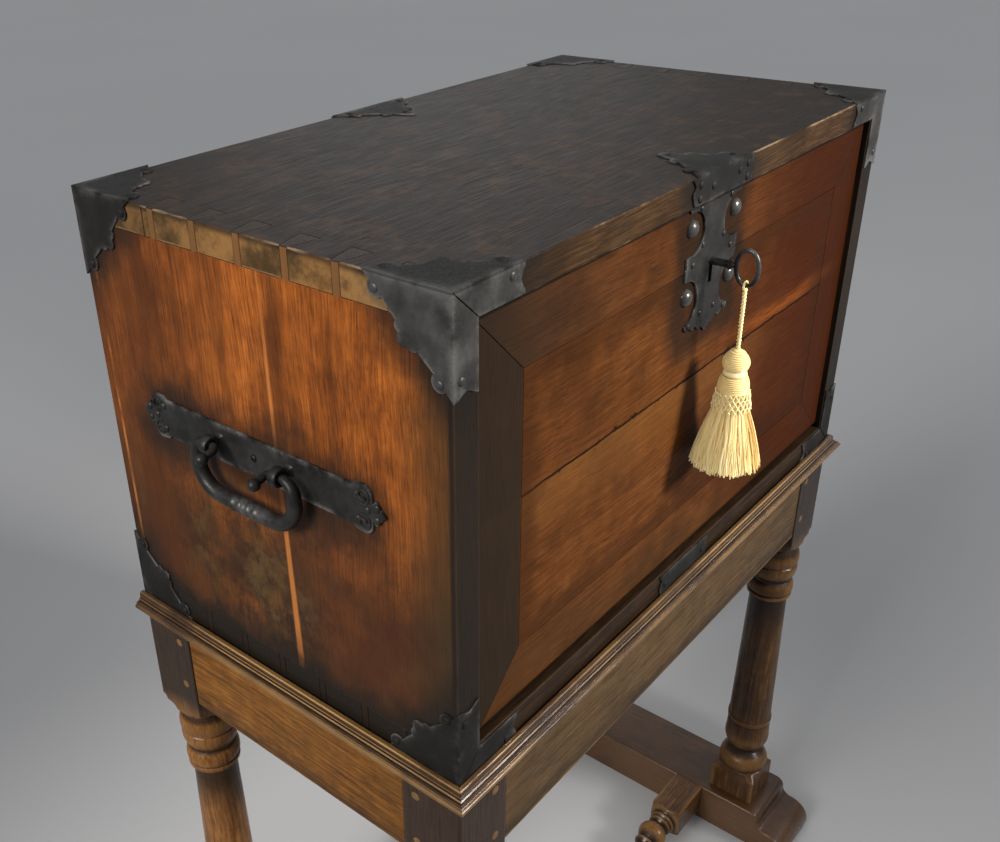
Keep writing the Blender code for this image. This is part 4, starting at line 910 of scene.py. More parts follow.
IRON_DULL_SHADE = (0.007, 0.0067, 0.0062)
IRON_BRIGHT = (0.24, 0.235, 0.225)
IRON_TONES = ((0.013, 0.0125, 0.0118), (0.027, 0.0262, 0.0252), (0.052, 0.051, 0.0495))
ENDS = (("front", -1), ("back", 1))
LEAF = 0.085
SHEET = 0.0015
OFF_WOOD = 0.0003
FRONT_RAIL = 0.026
FRONT_STILE = 0.028
MITRE_GAP = 0.0005
FILED = 0.0005                   # how far a cut edge is filed back
LEAF_ROWS = np.linspace(0, 1, 10) ** 0.8
NAIL_RADIUS = 0.0042
NAIL_HEIGHT = 0.0017


def make_forged_skin():
    """Hammer dints and fire scale: a grey that wanders, how rough it is, and the relief."""
    group, given, result = new_group("forged_skin", {"Vector": (0, 0, 0), "Dints": 75.0}, ("Tone", "Scale", "Height"))
    place = given["Vector"]
    scale = noise(group, place, 420.0, 3.0)
    fill(result, {"Tone": noise(group, place, 26.0, 6.0, 0.65), "Scale": scale,
                  "Height": 0.22 * scale + noise(group, place, given["Dints"])})
    return group


forged_skin = make_forged_skin()


def iron_finish(name, dints=75.0, shine=1.0, mounted=False, polish=0.0):
    """Blackened iron, brighter where hands and cloths have rubbed its edges. What is mounted on the case is darker and
    rougher on the top and to the back, as painted shade, and also darker at the foot and in the middle."""
    iron = Finish(name)
    skin = iron.effect(forged_skin, Dints=dints)
    iron.colour = iron.ramp(skin["Tone"], (0.34, 0.52, 0.72), shine * np.array(IRON_TONES))
    rough = skin["Scale"].ease(0.25, 0.75, 0.34 - polish, 0.52 - polish)
    wear = iron.attribute("wear")
    if mounted:
        x, y, z = iron.axes("xyz")
        # Painted shade: mounted iron is darkened on its tops and towards the back; at the foot and in the middle it is
        # simply darker.
        dull_and_shade = z.ease(case_high.z - 0.001, case_high.z) | y.ease(-0.05, 0.12)
        dull_and_shade = dull_and_shade | z.ease(0.95, 0.85) | abs(x).ease(0.12, 0.08)
        iron.stain(dull_and_shade, IRON_DULL_SHADE, 0.85)
        rough = 0.22 * dull_and_shade + rough
        wear = wear * dull_and_shade.ease(0.0, 1.0, 1.0, 0.5)
    rubbed = wear * skin["Tone"].ease(0.40, 0.60)
    iron.stain(rubbed, IRON_BRIGHT, 0.6)
    bump = put(iron.tree, "Bump", {"Height": skin["Height"], "Distance": 0.0006, "Strength": 0.55})
    return iron.done({"Roughness": rough - 0.14 * rubbed, "Normal": bump.outputs["Normal"], "Metallic": 0.45,
                      "Specular IOR Level": 0.25})


sheet_iron = iron_finish("sheet_iron", shine=2.0, mounted=True)


def lobed_edge(start, end, lobes):
    """A straight edge with round lobes on it, each at a share of its length: lift, radius, first and last angle."""
    start = np.asarray(start, float)
    end = np.asarray(end, float)
    length = np.linalg.norm(end - start)
    along = (end - start) / length
    off = np.array([along[1], -along[0]])
    points = [start[None]]
    for share, lift, radius, first, last in lobes:
        s, h = arc(share * length, lift, radius, first, last, 13).T
        points.append(start + s[:, None] * along + h[:, None] * off)
    return np.concatenate(points + [end[None]])


def sheet_leaf(flat, wear, axes, corner, signs, out, folds=(), cuts=(), thick=SHEET):
    """One flat leaf standing off the wood: its (u, v) points in the plane of two axes through a corner, moved
    out by the sheet's thickness, and along a fold by its neighbour's too. Each cut border is filed and turned
    down to the wood, where the leaf's back closes it. A fold is the coordinate that is zero on it and the
    neighbour's way out."""
    points = np.zeros((*flat.shape[:2], 3))
    points[..., axes[0]] = flat[..., 0]
    points[..., axes[1]] = flat[..., 1]
    points = np.asarray(corner) + np.asarray(signs) * points
    ways = np.zeros(points.shape) + np.asarray(out, float)
    for k, other in folds:
        ways += (np.abs(flat[..., k, None]) < 1e-7) * np.asarray(other, float)
    rubbed = np.broadcast_to(wear, flat.shape[:2])[..., None]
    sheet = np.concatenate([points, ways, rubbed], -1)
    for axis, end in cuts:
        rows = np.moveaxis(sheet, axis, 0)[::end]
        step = np.linalg.norm(rows[-2, :, :3] - rows[-1, :, :3], axis=-1, keepdims=True)
        drawn = rows[-1:].copy()
        drawn[0, :, :3] += (rows[-2, :, :3] - rows[-1, :, :3]) * np.minimum(FILED / np.maximum(step, 1e-9), 0.5)
        filed, foot = rows[-1:].copy(), rows[-1:].copy()
        filed[..., 3:6] *= 0.7
        foot[..., 3:6] *= 0.0
        sheet = np.moveaxis(np.concatenate([rows[:-1], drawn, filed, foot])[::end], 0, axis)
    return [(sheet[..., :3] + thick * sheet[..., 3:6], sheet[..., 6]), (points, rubbed[..., 0])]


def add_sheet(name, leaves, body, node, finish=None, close=True):
    """Leaves of sheet as one piece, joined where they meet, with the edges that stand on other pieces closed."""
    faces = []
    start = 0
    for leaf, wear in leaves:
        faces += grid_faces(*leaf.shape[:2], start=start)
        start += wear.size
    points = np.concatenate([leaf.reshape(-1, 3) for leaf, wear in leaves])
    item = add_piece(name, points, faces, body, finish or sheet_iron)
    set_attribute(item, "wear", np.concatenate([wear.ravel() for leaf, wear in leaves]))
    work = bmesh.new()
    work.from_mesh(item.data)
    bmesh.ops.remove_doubles(work, verts=work.verts, dist=0.000002)
    if close:
        bmesh.ops.holes_fill(work, edges=[edge for edge in work.edges if edge.is_boundary], sides=0)
    bmesh.ops.recalc_face_normals(work, faces=work.faces)
    work.to_mesh(item.data)
    work.free()
    item.data.set_sharp_from_angle(angle=0.7)
    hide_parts(node)
    return item


def leaf_edge():
    """A corner leaf's cut edge: a nail lobe near each end and a trefoil in the middle."""
    nail = LEAF * 0.095
    petal = LEAF * 0.06
    apart = 0.105 / sqrt(2)
    return lobed_edge((LEAF, 0), (0, LEAF), [
        (0.15, -0.2 * nail, nail, 180, 0), (0.5 - apart, 0, petal, 180, 70), (0.5, 0.8 * petal, 1.25 * petal, 165, 15),
        (0.5 + apart, 0, petal, 110, 0), (0.85, -0.2 * nail, nail, 180, 0)])


def ruled_leaf(edge):
    """A leaf ruled from its folds to its cut edge: the lines run square to the diagonal, so each starts where
    both of its edge point's distances have lost the smaller of the two."""
    fold = edge - edge.min(1, keepdims=True)
    flat = fold + LEAF_ROWS[:, None, None] * (edge - fold)
    near = np.exp(-np.min(np.abs(flat), -1) / 0.002)
    return flat, np.clip(LEAF_ROWS[:, None] ** 20 + 0.8 * near, 0, 1)


def front_strip(wide, other, steps):
    """A front mount's strip along one of the case's edges, cut to meet its fellow in an open mitre. Its rows
    start at the same steps along the fold as the leaf's lines."""
    s = steps[:, None]
    t = np.linspace(0, 1, 7)[None]
    mitre = t * other + MITRE_GAP * (t > 0)
    run = mitre + s * (LEAF * (1 - 0.07 * np.sin(pi * t) ** 2) - mitre)
    flat = points_at(run, t * wide)
    rub = 0.8 * np.exp(-t * wide / 0.002) + s ** 20 + 0.6 * np.exp(-(1 - t) * wide / 0.0015)
    return flat, np.clip(rub, 0, 1)


nails = []                       # place and way out of each nail in the case's ironwork


def build_corner_mounts():
    edge = leaf_edge()
    diagonal = ruled_leaf(edge)
    steps = np.unique(np.round(np.maximum(edge[:, 0] - edge[:, 1], 0), 7)) / LEAF
    spots = LEAF * np.array([(0.85, 0.135), (0.135, 0.85)])
    for level, up in (("top", 1), ("bottom", -1)):
        rail = FRONT_RAIL if level == "top" else FRONT_STILE
        for side, sx in SIDES:
            for end, sy in ENDS:
                height = case_high.z + OFF_WOOD if level == "top" else side_foot
                corner = np.array([sx * (case_high.x + OFF_WOOD), sy * (case_high.y + OFF_WOOD), height])
                signs = (-sx, -sy, -up)
                ways = np.array([(sx, 0, 0), (0, sy, 0), (0, 0, 1 if level == "top" else 0)])
                plan = [((1, 2), 0, diagonal, spots, ((0, 1),))]
                if level == "top":
                    plan.append(((0, 1), 2, diagonal, spots, ((0, 1),)))
                if end == "back":
                    plan.append(((0, 2), 1, diagonal, spots, ((0, 1),)))
                else:
                    strip_cuts = ((0, 1), (0, -1), (1, 1))
                    across = front_strip(rail, FRONT_STILE, steps)
                    plan.append(((0, 2), 1, across, np.array([(0.068, 0.28 * rail)]), strip_cuts))
                    flat, wear = front_strip(FRONT_STILE, rail, steps)
                    upright = (flat[..., ::-1], wear)
                    plan.append(((0, 2), 1, upright, np.array([(0.28 * FRONT_STILE, 0.069)]), strip_cuts))
                leaves = []
                for axes, normal, (flat, wear), holes, cuts in plan:
                    folds = [(0, ways[axes[0]]), (1, ways[axes[1]])]
                    leaves += sheet_leaf(flat, wear, axes, corner, signs, ways[normal], folds, cuts)
                    for hole in holes:
                        spot = corner + SHEET * ways[normal]
                        spot[list(axes)] += np.array(signs)[list(axes)] * hole
                        nails.append((spot, ways[normal]))
                add_sheet(f"iron_corner_{level}_{end}_{side}", leaves, "frame", f"corner_{level}_{end}_{side}")


build_corner_mounts()


# Edge straps: one over the middle of the top's front edge, above the lock, a like one at the back, and a short
# strip at the foot of the front. Each is sheet iron with a lobed, pointed leaf on the top.

STRAP_HALF = 0.062
STRAP_DEEP = 0.070
STRIP_DEEP = 0.026
STRIP_NAILS = (                  # across, down
    (-0.047, 0.007), (0.047, 0.007), (-0.047, 0.020), (0.047, 0.020), (-0.022, 0.013), (0.030, 0.010))


def strap_leaf(base):
    """A pointed leaf on a fold: rings from the fold's middle out to the lobed edge."""
    lobe = STRAP_HALF * 0.10
    apex = STRAP_DEEP - lobe
    lobes = [(share, -0.3 * lobe, lobe, 180, 0) for share in (0.30, 0.70)]
    rise = lobed_edge((base, 0), (0, apex), lobes)[:-1]
    edge = np.concatenate([rise, arc(0, apex, lobe, 25, 155, 13), rise[::-1] * (-1, 1)])
    flat = LEAF_ROWS[:, None, None] * edge[None]
    return flat, np.clip(LEAF_ROWS[:, None] ** 20 + np.exp(-flat[..., 1] / 0.002), 0, 1)


def strap_strip(base, half, deep):
    """The part on the case's narrow edge: a band whose ends have a notch and two lobes."""
    t = np.array([0, 0.01, 0.1, 0.2, 0.3, 0.4, 0.5, 0.6, 0.7, 0.85, 1.0])
    reach = half * (1 - 0.10 * np.interp(t, [0, 0.3, 0.55, 1.0], [0, 1.0, 0.1, 1.0]))
    reach[0] = base
    share = np.concatenate([-LEAF_ROWS[:0:-1], LEAF_ROWS])
    t = t[:, None]
    flat = points_at(share * reach[:, None], t * deep)
    rub = 0.8 * np.exp(-t * deep / 0.002) + np.abs(share) ** 30 + 0.6 * np.exp(-(1 - t) * deep / 0.0015)
    return flat, np.clip(rub, 0, 1)


def build_straps():
    below = ((0, 1), (1, 1), (1, -1))
    for end, sy, share in (("front", -1, 0.84), ("back", 1, 0.95)):
        base = STRAP_HALF * share
        corner = np.array([0.0, sy * (case_high.y + OFF_WOOD), case_high.z + OFF_WOOD])
        signs = (1, -sy, -1)
        above, outside = np.array((0, 0, 1)), np.array((0, sy, 0))
        leaves = sheet_leaf(*strap_leaf(base), (0, 1), corner, signs, above, [(1, outside)], ((0, 1),))
        strip = strap_strip(base, STRAP_HALF, STRIP_DEEP)
        leaves += sheet_leaf(*strip, (0, 2), corner, signs, outside, [(1, above)], below)
        add_sheet(f"iron_strap_top_{end}", leaves, "frame", f"strap_top_{end}")
        for x, y in ((0.72 * base, 0.010), (-0.72 * base, 0.010), (0, STRAP_DEEP - 0.013)):
            nails.append((corner + SHEET * above + (x, -sy * y, 0), above))
        for x, z in STRIP_NAILS:
            nails.append((corner + SHEET * outside + (x, 0, -z), outside))
    low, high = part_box("strap_bottom_front")
    strip = strap_strip(high.x * 0.68, high.x, high.z - low.z)
    foot = sheet_leaf(*strip, (0, 2), (0.0, high.y, high.z), (1, 1, -1), (0, -1, 0), (), (*below, (0, -1)))
    add_sheet("iron_strap_bottom_front", foot, "frame", "strap_bottom_front")
    nails.extend((np.array((x, low.y, (low.z + high.z) / 2)), np.array((0, -1, 0))) for x in (-0.042, 0.042))
    places, ways = map(np.array, zip(*nails))
    domes("mount_nails", places, ways, NAIL_RADIUS, NAIL_HEIGHT, "frame", sheet_iron, "forged_iron")


build_straps()


# Lifting handles: on each side, a forged plate with scrolled, pointed ends nailed to the case, two eyes riveted
# through it, and a bail that hangs in them by hooked ends with ball tips. Its grip is thick and ringed.

PLATE_THICK = 0.0025
PLATE_HALF = 0.160
PLATE_WAIST = 0.1453
VOLUTE_AT = (0.135, 0.013)
VOLUTE_WIRE = 0.0015
SCROLL_STEPS = 40
HANDLE_NAIL = (0.0040, 0.0019)   # radius, height
HANDLE_NAILS = [(0.139, 0.0), (0.128, 0.012), (0.128, -0.012), (0.150, 0.006), (0.150, -0.006), (0.0, 0.0)]
EYE_BORE = 0.0048
EYE_WALL = 0.0046
EYE_WIDTH = 0.010
EYE_APART = 0.046
EYE_OUT = 0.0157                 # of the eye's middle from the case
EYE_UP = 0.004
EYE_PLAY = 0.0006
BALL = 0.0060
BAIL_HOOK = 0.0175
HOOK_TURN = 0.0055
BAIL_SHOULDER = 0.0134
BAIL_BEND = 0.030
BAIL_BEND_AT = 0.035             # where the bend ends and the grip begins
BAIL_DROP = 0.050
BAIL_NECK = 0.0042
BAIL_GRIP = 0.0073
TWO_PLANES = (1.0, 0.1, 1.0)     # leans out of both planes that a bail bends in
wrought_iron = iron_finish("wrought_iron", 130.0)


def swept(path, radius, sides, reference):
    """A round bar along a path: circles of each point's radius, square to the path, from one reference way."""
    path = np.asarray(path, float)
    tangent = np.gradient(path, axis=0)
    tangent /= np.linalg.norm(tangent, axis=1, keepdims=True)
    first = np.cross(tangent, np.asarray(reference, float))
    first /= np.linalg.norm(first, axis=1, keepdims=True)
    second = np.cross(tangent, first)
    turn = np.arange(sides) * 2 * pi / sides
    ring = np.cos(turn)[:, None] * first[:, None] + np.sin(turn)[:, None] * second[:, None]
    return path[:, None] + np.broadcast_to(radius, len(path))[:, None, None] * ring


def plate_outline(y):
    """Half the plate's height at a distance from its middle: straight, a scroll, a waist, a barb and a point."""
    scroll = arc(VOLUTE_AT[0], 0.014, 0.010, 110, 5, 12)
    known = np.concatenate([[(0, 0.020), (0.122, 0.020), (0.125, 0.023)], scroll,
                            [(PLATE_WAIST, 0.008), (0.149, 0.013), (0.153, 0.007), (PLATE_HALF, 0.0)]])
    return np.interp(np.abs(y), known[:, 0], known[:, 1])


def squared(value):
    """A sine or cosine pushed out, so that a circle becomes a rounded square."""
    return np.sign(value) * np.abs(value) ** 0.6


def bail_path():
    """Half a bail from its ball to the middle of its grip, as (out, along, up) from between the eyes: the ball,
    the hook's quarter turn, through the eye, down round two bends and along the grip."""
    inner, outer = EYE_APART - EYE_WIDTH / 2 - EYE_PLAY, EYE_APART + EYE_WIDTH / 2 + EYE_PLAY
    tilt = np.radians(np.linspace(10, 142, 12))
    ball = points_at(BAIL_HOOK + BALL * np.cos(tilt), inner - HOOK_TURN, 0.0)
    turn = arc(inner, HOOK_TURN, HOOK_TURN, 180, 270, 9)
    hook = points_at(turn[:, 1], turn[:, 0], 0.0)
    shoulder = arc(outer, -BAIL_SHOULDER, BAIL_SHOULDER, 90, 0, 12)
    bend = arc(BAIL_BEND_AT, BAIL_BEND - BAIL_DROP, BAIL_BEND, 0, -90, 16)
    arm = np.concatenate([shoulder, bend])
    arm = points_at(0.0, arm[:, 0], arm[:, 1])
    along = np.linspace(BAIL_BEND_AT - 0.002, 0.0, 28)
    grip = points_at(0.0, along, -BAIL_DROP)
    path = np.concatenate([ball, hook, arm, grip])
    path[:, 2] -= 0.23 * np.maximum(path[:, 0], 0)
    rings = 1 + 0.13 * np.exp(-((along - 0.015) / 0.002) ** 2) + 0.10 * np.exp(-(along / 0.0022) ** 2)
    rings += 0.10 * np.exp(-((along - 0.0055) / 0.0016) ** 2)
    radius = np.concatenate([np.maximum(BALL * np.sin(tilt), 0.0036 * (tilt > 1.6)), np.full(len(hook), 0.0040),
                             BAIL_NECK + (BAIL_GRIP - BAIL_NECK) * np.minimum(1, np.arange(len(arm)) / 14),
                             BAIL_GRIP * rings])
    return np.concatenate([path, path[-2::-1] * (1, -1, 1)]), np.concatenate([radius, radius[-2::-1]])


def handle_plate(side, sx, wall, middle):
    """The plate with its four scrolls, which are wires that thin out as they open, and its nails."""
    y = np.unique(np.concatenate([np.linspace(-PLATE_HALF, PLATE_HALF, 161), [-PLATE_WAIST, PLATE_WAIST]]))
    v = np.linspace(-1, 1, 9)
    flat = points_at(y[:, None], v * plate_outline(y)[:, None])
    plate = sheet_leaf(flat, np.abs(v) ** 8, (1, 2), (wall, middle.y, middle.z), (1, 1, 1), (sx, 0, 0), (),
                       ((1, 1), (1, -1)), PLATE_THICK)
    add_sheet(f"iron_handle_plate_{side}", plate, "frame", f"handle_plate_{side}", wrought_iron)

    face = wall + sx * PLATE_THICK
    angle = np.linspace(0.3, 2.6 * pi, SCROLL_STEPS)
    curl = np.linspace(0.0026, 0.0082, SCROLL_STEPS)
    scrolls = []
    for sy, sz in ((-1, -1), (-1, 1), (1, -1), (1, 1)):
        path = points_at(face + sx * 0.0002, middle.y + sy * (VOLUTE_AT[0] + curl * np.cos(angle)),
                         middle.z + sz * (VOLUTE_AT[1] - curl * np.sin(angle)))
        scrolls.append(swept(path, VOLUTE_WIRE * np.linspace(1.4, 0.5, SCROLL_STEPS), 8, (1, 0, 0)))
    scrolls = np.array(scrolls)
    add_piece(f"handle_scrolls_{side}", scrolls, many_tubes(scrolls), "frame", wrought_iron)
    places = [(face, middle.y + sy * ny, middle.z + nz) for ny, nz in HANDLE_NAILS for sy in (-1, 1)]
    domes(f"handle_nails_{side}", places, (sx, 0, 0), *HANDLE_NAIL, "frame", wrought_iron, "forged_iron")


def handle_eyes(side, sx, face, eye, middle):
    """Two rings of squarish bar about Y, each on a shank that spreads where it meets the plate."""
    turn = np.arange(40)[:, None] * 2 * pi / 40
    around = np.arange(16) * 2 * pi / 16
    c, s = squared(np.cos(around)), squared(np.sin(around))
    reach = EYE_BORE + EYE_WALL / 2 * (1 + c)
    run = np.linspace(0, 1, 6)[:, None]
    half = 0.0034 + 0.0030 * (1 - run) ** 3
    for end, sy in ENDS:
        y = middle.y + sy * EYE_APART
        ring = points_at(eye[0] + reach * np.cos(turn), y + EYE_WIDTH / 2 * s, eye[2] + reach * np.sin(turn))
        shank = points_at(face + run * (eye[0] - sx * EYE_BORE * 1.3 - face), y + half * c, eye[2] + half * s)
        points = np.concatenate([ring, ring[:1], shank])
        faces = grid_faces(41, 16, True) + tube_faces(6, 16, 41 * 16)
        item = add_piece(f"iron_eye_{side}_{end}", points, faces, "frame", wrought_iron)
        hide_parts(f"handle_eye_{side}_{end}")


def build_handles():
    path, radius = bail_path()
    wear = 0.55 * np.exp(-(path[:, 1] / 0.03) ** 2) * (path[:, 2] < -0.04)
    for side, sx in SIDES:
        low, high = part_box(f"handle_plate_{side}")
        middle = (low + high) / 2
        wall = sx * (case_high.x + OFF_WOOD)
        eye = np.array((wall + sx * EYE_OUT, middle.y, middle.z + EYE_UP))
        handle_plate(side, sx, wall, middle)
        handle_eyes(side, sx, wall + sx * PLATE_THICK, eye, middle)
        bar = swept(eye + path * (sx, 1, 1), radius, 16, (sx * TWO_PLANES[0], *TWO_PLANES[1:]))
        faces = tube_faces(len(path), 16)
        bail = add_piece(f"iron_bail_{side}", bar, faces, f"bail_{side}", wrought_iron)
        set_attribute(bail, "wear", np.repeat(wear, 16))
        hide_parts(f"handle_bail_{side}")


build_handles()


# Fall front: two boards glued edge to edge in a mitred frame, hung on pins at its foot so that it drops to make
# the writing surface. Age has blackened the frame's left end, and the joint between the boards has opened.

FIELD_TONES = ((0.028, 0.0098, 0.0034), (0.096, 0.0318, 0.0078), (0.180, 0.0650, 0.0175))
FRAME_BLACK = (0.0160, 0.0128, 0.0094)
FIELD_SHADE = (0.042, 0.0220, 0.0090)
FIELD_OCHRE = (0.145, 0.062, 0.0165)
FIELD_RED = (0.036, 0.0068, 0.0011)
FIELD_FLAME = (0.205, 0.0560, 0.0080)
FALL_RIM = 0.063                 # width of the frame's members
fall_low = Vector(map(min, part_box("fall_stile_left")[0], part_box("fall_rail_bottom")[0]))
fall_high = Vector(map(max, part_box("fall_stile_right")[1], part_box("fall_rail_top")[1]))
field_joint = (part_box("fall_board_lower")[1].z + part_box("fall_board_upper")[0].z) / 2
plate_low, plate_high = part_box("lock_plate")


def fall_finish(name, grain, shift):
    """Orange walnut: a black left stile and rail end, a red right third with a bright flame along the joint, ochre
    under it, a foot darkened as painted shade, a painted shadow along the head, and stains round the iron."""
    wood = start_wood(name, grain, shift, FIELD_TONES, 430.0, 0.24)
    x, z = wood.axes("xz")
    cloud, fine = wood.noise(8.0, 6.0, 0.6), wood.noise(55.0, 8.0, 0.7)
    rim = Vector((FALL_RIM, 0, FALL_RIM))
    left, inner = fall_low.x + FALL_RIM, fall_high - rim
    wood.stain(cloud.ease(0.46, 0.68), FIELD_TONES[0], 0.6)
    wood.stain((0.2 * cloud + x).ease(0.08, 0.34), FIELD_RED, 0.88)
    over = z - field_joint
    under = over.ease(-0.075, -0.008) * over.ease(-0.001, 0.001, 1.0, 0.0)
    wood.stain(under * x.ease(0.22, 0.02), FIELD_OCHRE, 0.38)
    flame = abs(over - 0.022 * cloud).ease(0.001, 0.014, 1.0, 0.0) * x.ease(0.02, 0.18) * x.ease(0.37, 0.22)
    wood.stain(flame * wood.figure["Streak"].ease(0.36, 0.62, 0.35, 1.0), FIELD_FLAME, 0.7)
    # Painted shade: the fall darkens towards its foot, more to the left.
    low = 0.14 * x + (z - 0.10 * cloud)
    wood.stain(low.ease(fall_low.z - 0.055, fall_low.z + 0.03, 1.0, 0.0), FIELD_SHADE, 0.5)
    if "stile_left" in name:
        black = x.ease(left - 0.002, left + 0.002, 1.0, 0.0)
    else:
        black = z.ease(inner.z - 0.002, inner.z + 0.002) * (0.22 * cloud + x).ease(-0.28, 0.02, 1.0, 0.12)
    wood.stain(black, FRAME_BLACK, 0.90)
    wood.stain(x.ease(inner.x - 0.002, inner.x + 0.002), FRAME_BLACK, 0.12)
    off = abs(over - 0.004 * (wood.noise(30.0, 3.0) - 0.5))
    chipped = 0.0042 * fine.ease(0.53, 0.66) + 0.0013
    crack = (off / chipped).ease(0.6, 1.3, 1.0, 0.0) * abs(x).ease(inner.x, inner.x - 0.001)
    wood.stain(crack, CRACK_AND_GAP_SHADE, 0.92)
    if "board" in name:
        wood.stain(arrises(wood, (fall_low + rim, inner), 0.042), FIELD_TONES[0], 0.6)
    # Painted shadow: a black band along the head of the fall, in the gap under the case top.
    wood.stain(z.ease(fall_high.z - 0.0035, fall_high.z - 0.0015), CRACK_AND_GAP_SHADE, 0.85)
    lock = by_block(wood, (plate_low + plate_high) / 2, (plate_high - plate_low) / 2, 0.035)
    wood.stain(lock, IRON_BLACK, 0.80)
    return end_wood(wood, 0.46, 0.0, 0.0003, 0.035)


pin_iron = iron_finish("pin_iron")


def build_fall():
    parts = ("stile_left", "stile_right", "rail_top", "rail_bottom", "board_lower", "board_upper")
    for shift, part in enumerate(parts):
        grain = ALONG_Z if "stile" in part else ALONG_X
        ease_board(f"fall_{part}", fall_finish(f"fall_{part}_walnut", grain, 31.0 + 1.7 * shift), 0.0009)
    dress("fall_pivot_left", pin_iron)
    dress("fall_pivot_right", pin_iron)


build_fall()


# Lock: a sheet-iron plate with two round bites in each side and a scalloped foot, nailed over the lock's case,
# with a big domed nail in each bite. The bolt slides up out of the case into the keeper strap.

LOCK_THICK = 0.0020
LOCK_HALF = 0.0505
LOCK_HIGH = 0.1242               # from the head to the foot's line
LOCK_FOOT_HALF = 0.040
LOCK_TIP = 0.0115
BITES = (                        # middle out, middle down, radius
    (0.042, 0.0252, 0.022), (0.055, 0.0562, 0.0055), (0.047, 0.0942, 0.024))
SCALLOPS = np.array([            # shares of the foot's half width and of the tip
    (0, 1), (0.2, 0.35), (0.35, 0.52), (0.52, 0), (0.7, 0.26), (0.85, -0.26), (1, 0), (1.09, -0.35)])
BOSS_AT = ((0.043, 0.0192), (0.043, 0.0877))
BOSS_RADIUS = 0.0090
BOSS_HEIGHT = 0.0062
LOCK_NAIL = (0.0036, 0.0016)     # radius, height
LOCK_NAILS = ((0.021, 0.040), (0.038, 0.056), (0.036, 0.1195), (0.014, 0.112), (0.030, 0.003))
KEY_DOWN = 0.0617                # of the keyhole's round part from the head
HOLE_RADIUS = 0.0044
HOLE_HALF = 0.00335
HOLE_FOOT = 0.0841
lock_iron = iron_finish("lock_iron", 95.0)


def plate_half(down):
    """Half the plate's width at each height: the straight side less the circles bitten out of it."""
    half = np.where(down > 0.117, LOCK_FOOT_HALF * SCALLOPS[-1, 0], LOCK_HALF)
    for out, middle, radius in BITES:
        bite = out - np.sqrt(np.maximum(radius ** 2 - (down - middle) ** 2, 0))
        half = np.where(np.abs(down - middle) < radius, np.minimum(half, bite), half)
    return half


def hole_half(down):
    """Half the keyhole's width at each height: a round head over a straight slot."""
    head = np.sqrt(np.maximum(HOLE_RADIUS ** 2 - (down - KEY_DOWN) ** 2, 0))
    slot = HOLE_HALF * ((down > KEY_DOWN) & (down <= HOLE_FOOT))
    return np.maximum(head, slot)


def build_lock():
    top = plate_high.z
    lip = [middle + side * radius * share for out, middle, radius in BITES for side in (-1, 1)
           for share in (0.93, 0.98, 1.001)]
    hole = KEY_DOWN + HOLE_RADIUS * np.array([-1, -0.95, -0.8, -0.6, -0.3, 0, 0.3, 0.6, 0.66])
    foot = LOCK_HIGH + SCALLOPS[-1, 1] * LOCK_TIP
    down = np.unique(np.concatenate([np.linspace(0, foot, 56), np.minimum(lip, foot), hole,
                                     [HOLE_FOOT, HOLE_FOOT + 1e-5]]))
    share = np.union1d(SCALLOPS[:, 0], (SCALLOPS[1:, 0] + SCALLOPS[:-1, 0]) / 2) / SCALLOPS[-1, 0]
    inner, outer = hole_half(down)[:, None], plate_half(down)[:, None]
    flat = points_at(inner + share * (outer - inner), down[:, None])
    scallop = LOCK_HIGH + LOCK_TIP * np.interp(share * SCALLOPS[-1, 0], SCALLOPS[:, 0], SCALLOPS[:, 1])
    step = np.linspace(0, 1, 6)[1:, None]
    skirt = points_at(flat[-1:, :, 0], foot + step * (scallop - foot))
    flat = np.concatenate([flat, skirt])
    rub = np.concatenate([np.zeros(len(down)), np.linspace(0, 1, 5) ** 3])[:, None]
    halves = []
    for sx in (-1, 1):
        halves += sheet_leaf(flat, np.maximum(share ** 16, rub), (0, 2), (0.0, plate_high.y, top), (sx, 1, -1),
                             (0, -1, 0), (), ((1, 1), (0, 1), (0, -1)), LOCK_THICK)
    add_sheet("iron_lock_plate", halves, "fall", "lock_plate", lock_iron, close=False)

    round_head = arc(0, top - KEY_DOWN, HOLE_RADIUS, -40, 220, 25)
    outline = np.concatenate([[(HOLE_HALF, top - HOLE_FOOT)], round_head, [(-HOLE_HALF, top - HOLE_FOOT)]])
    wall = np.stack([np.insert(outline, 1, depth, axis=1) for depth in (plate_low.y, plate_high.y)])
    add_piece("keyhole_wall", wall, grid_faces(2, len(outline), True), "fall", lock_iron)
    bosses = [(sx * x, fall_low.y, top - z) for x, z in BOSS_AT for sx in (-1, 1)]
    boss_iron = iron_finish("boss_iron", 40.0, 3.2, polish=0.15)
    domes("lock_bosses", bosses, (0, -1, 0), BOSS_RADIUS, BOSS_HEIGHT, "fall", boss_iron, "forged_iron", sides=24)
    spots = [(sx * x, plate_low.y, top - z) for x, z in LOCK_NAILS for sx in (-1, 1)]
    domes("lock_nails", spots, (0, -1, 0), *LOCK_NAIL, "fall", lock_iron, "forged_iron")
    dress("lock_case", lock_iron)
    dress("lock_bolt", lock_iron)


build_lock()


# Key: forged iron, with an oval bow of round wire welded to a shaft with a collar, and a flat bit. It stands in
# the lock, and its bow carries the tassel.

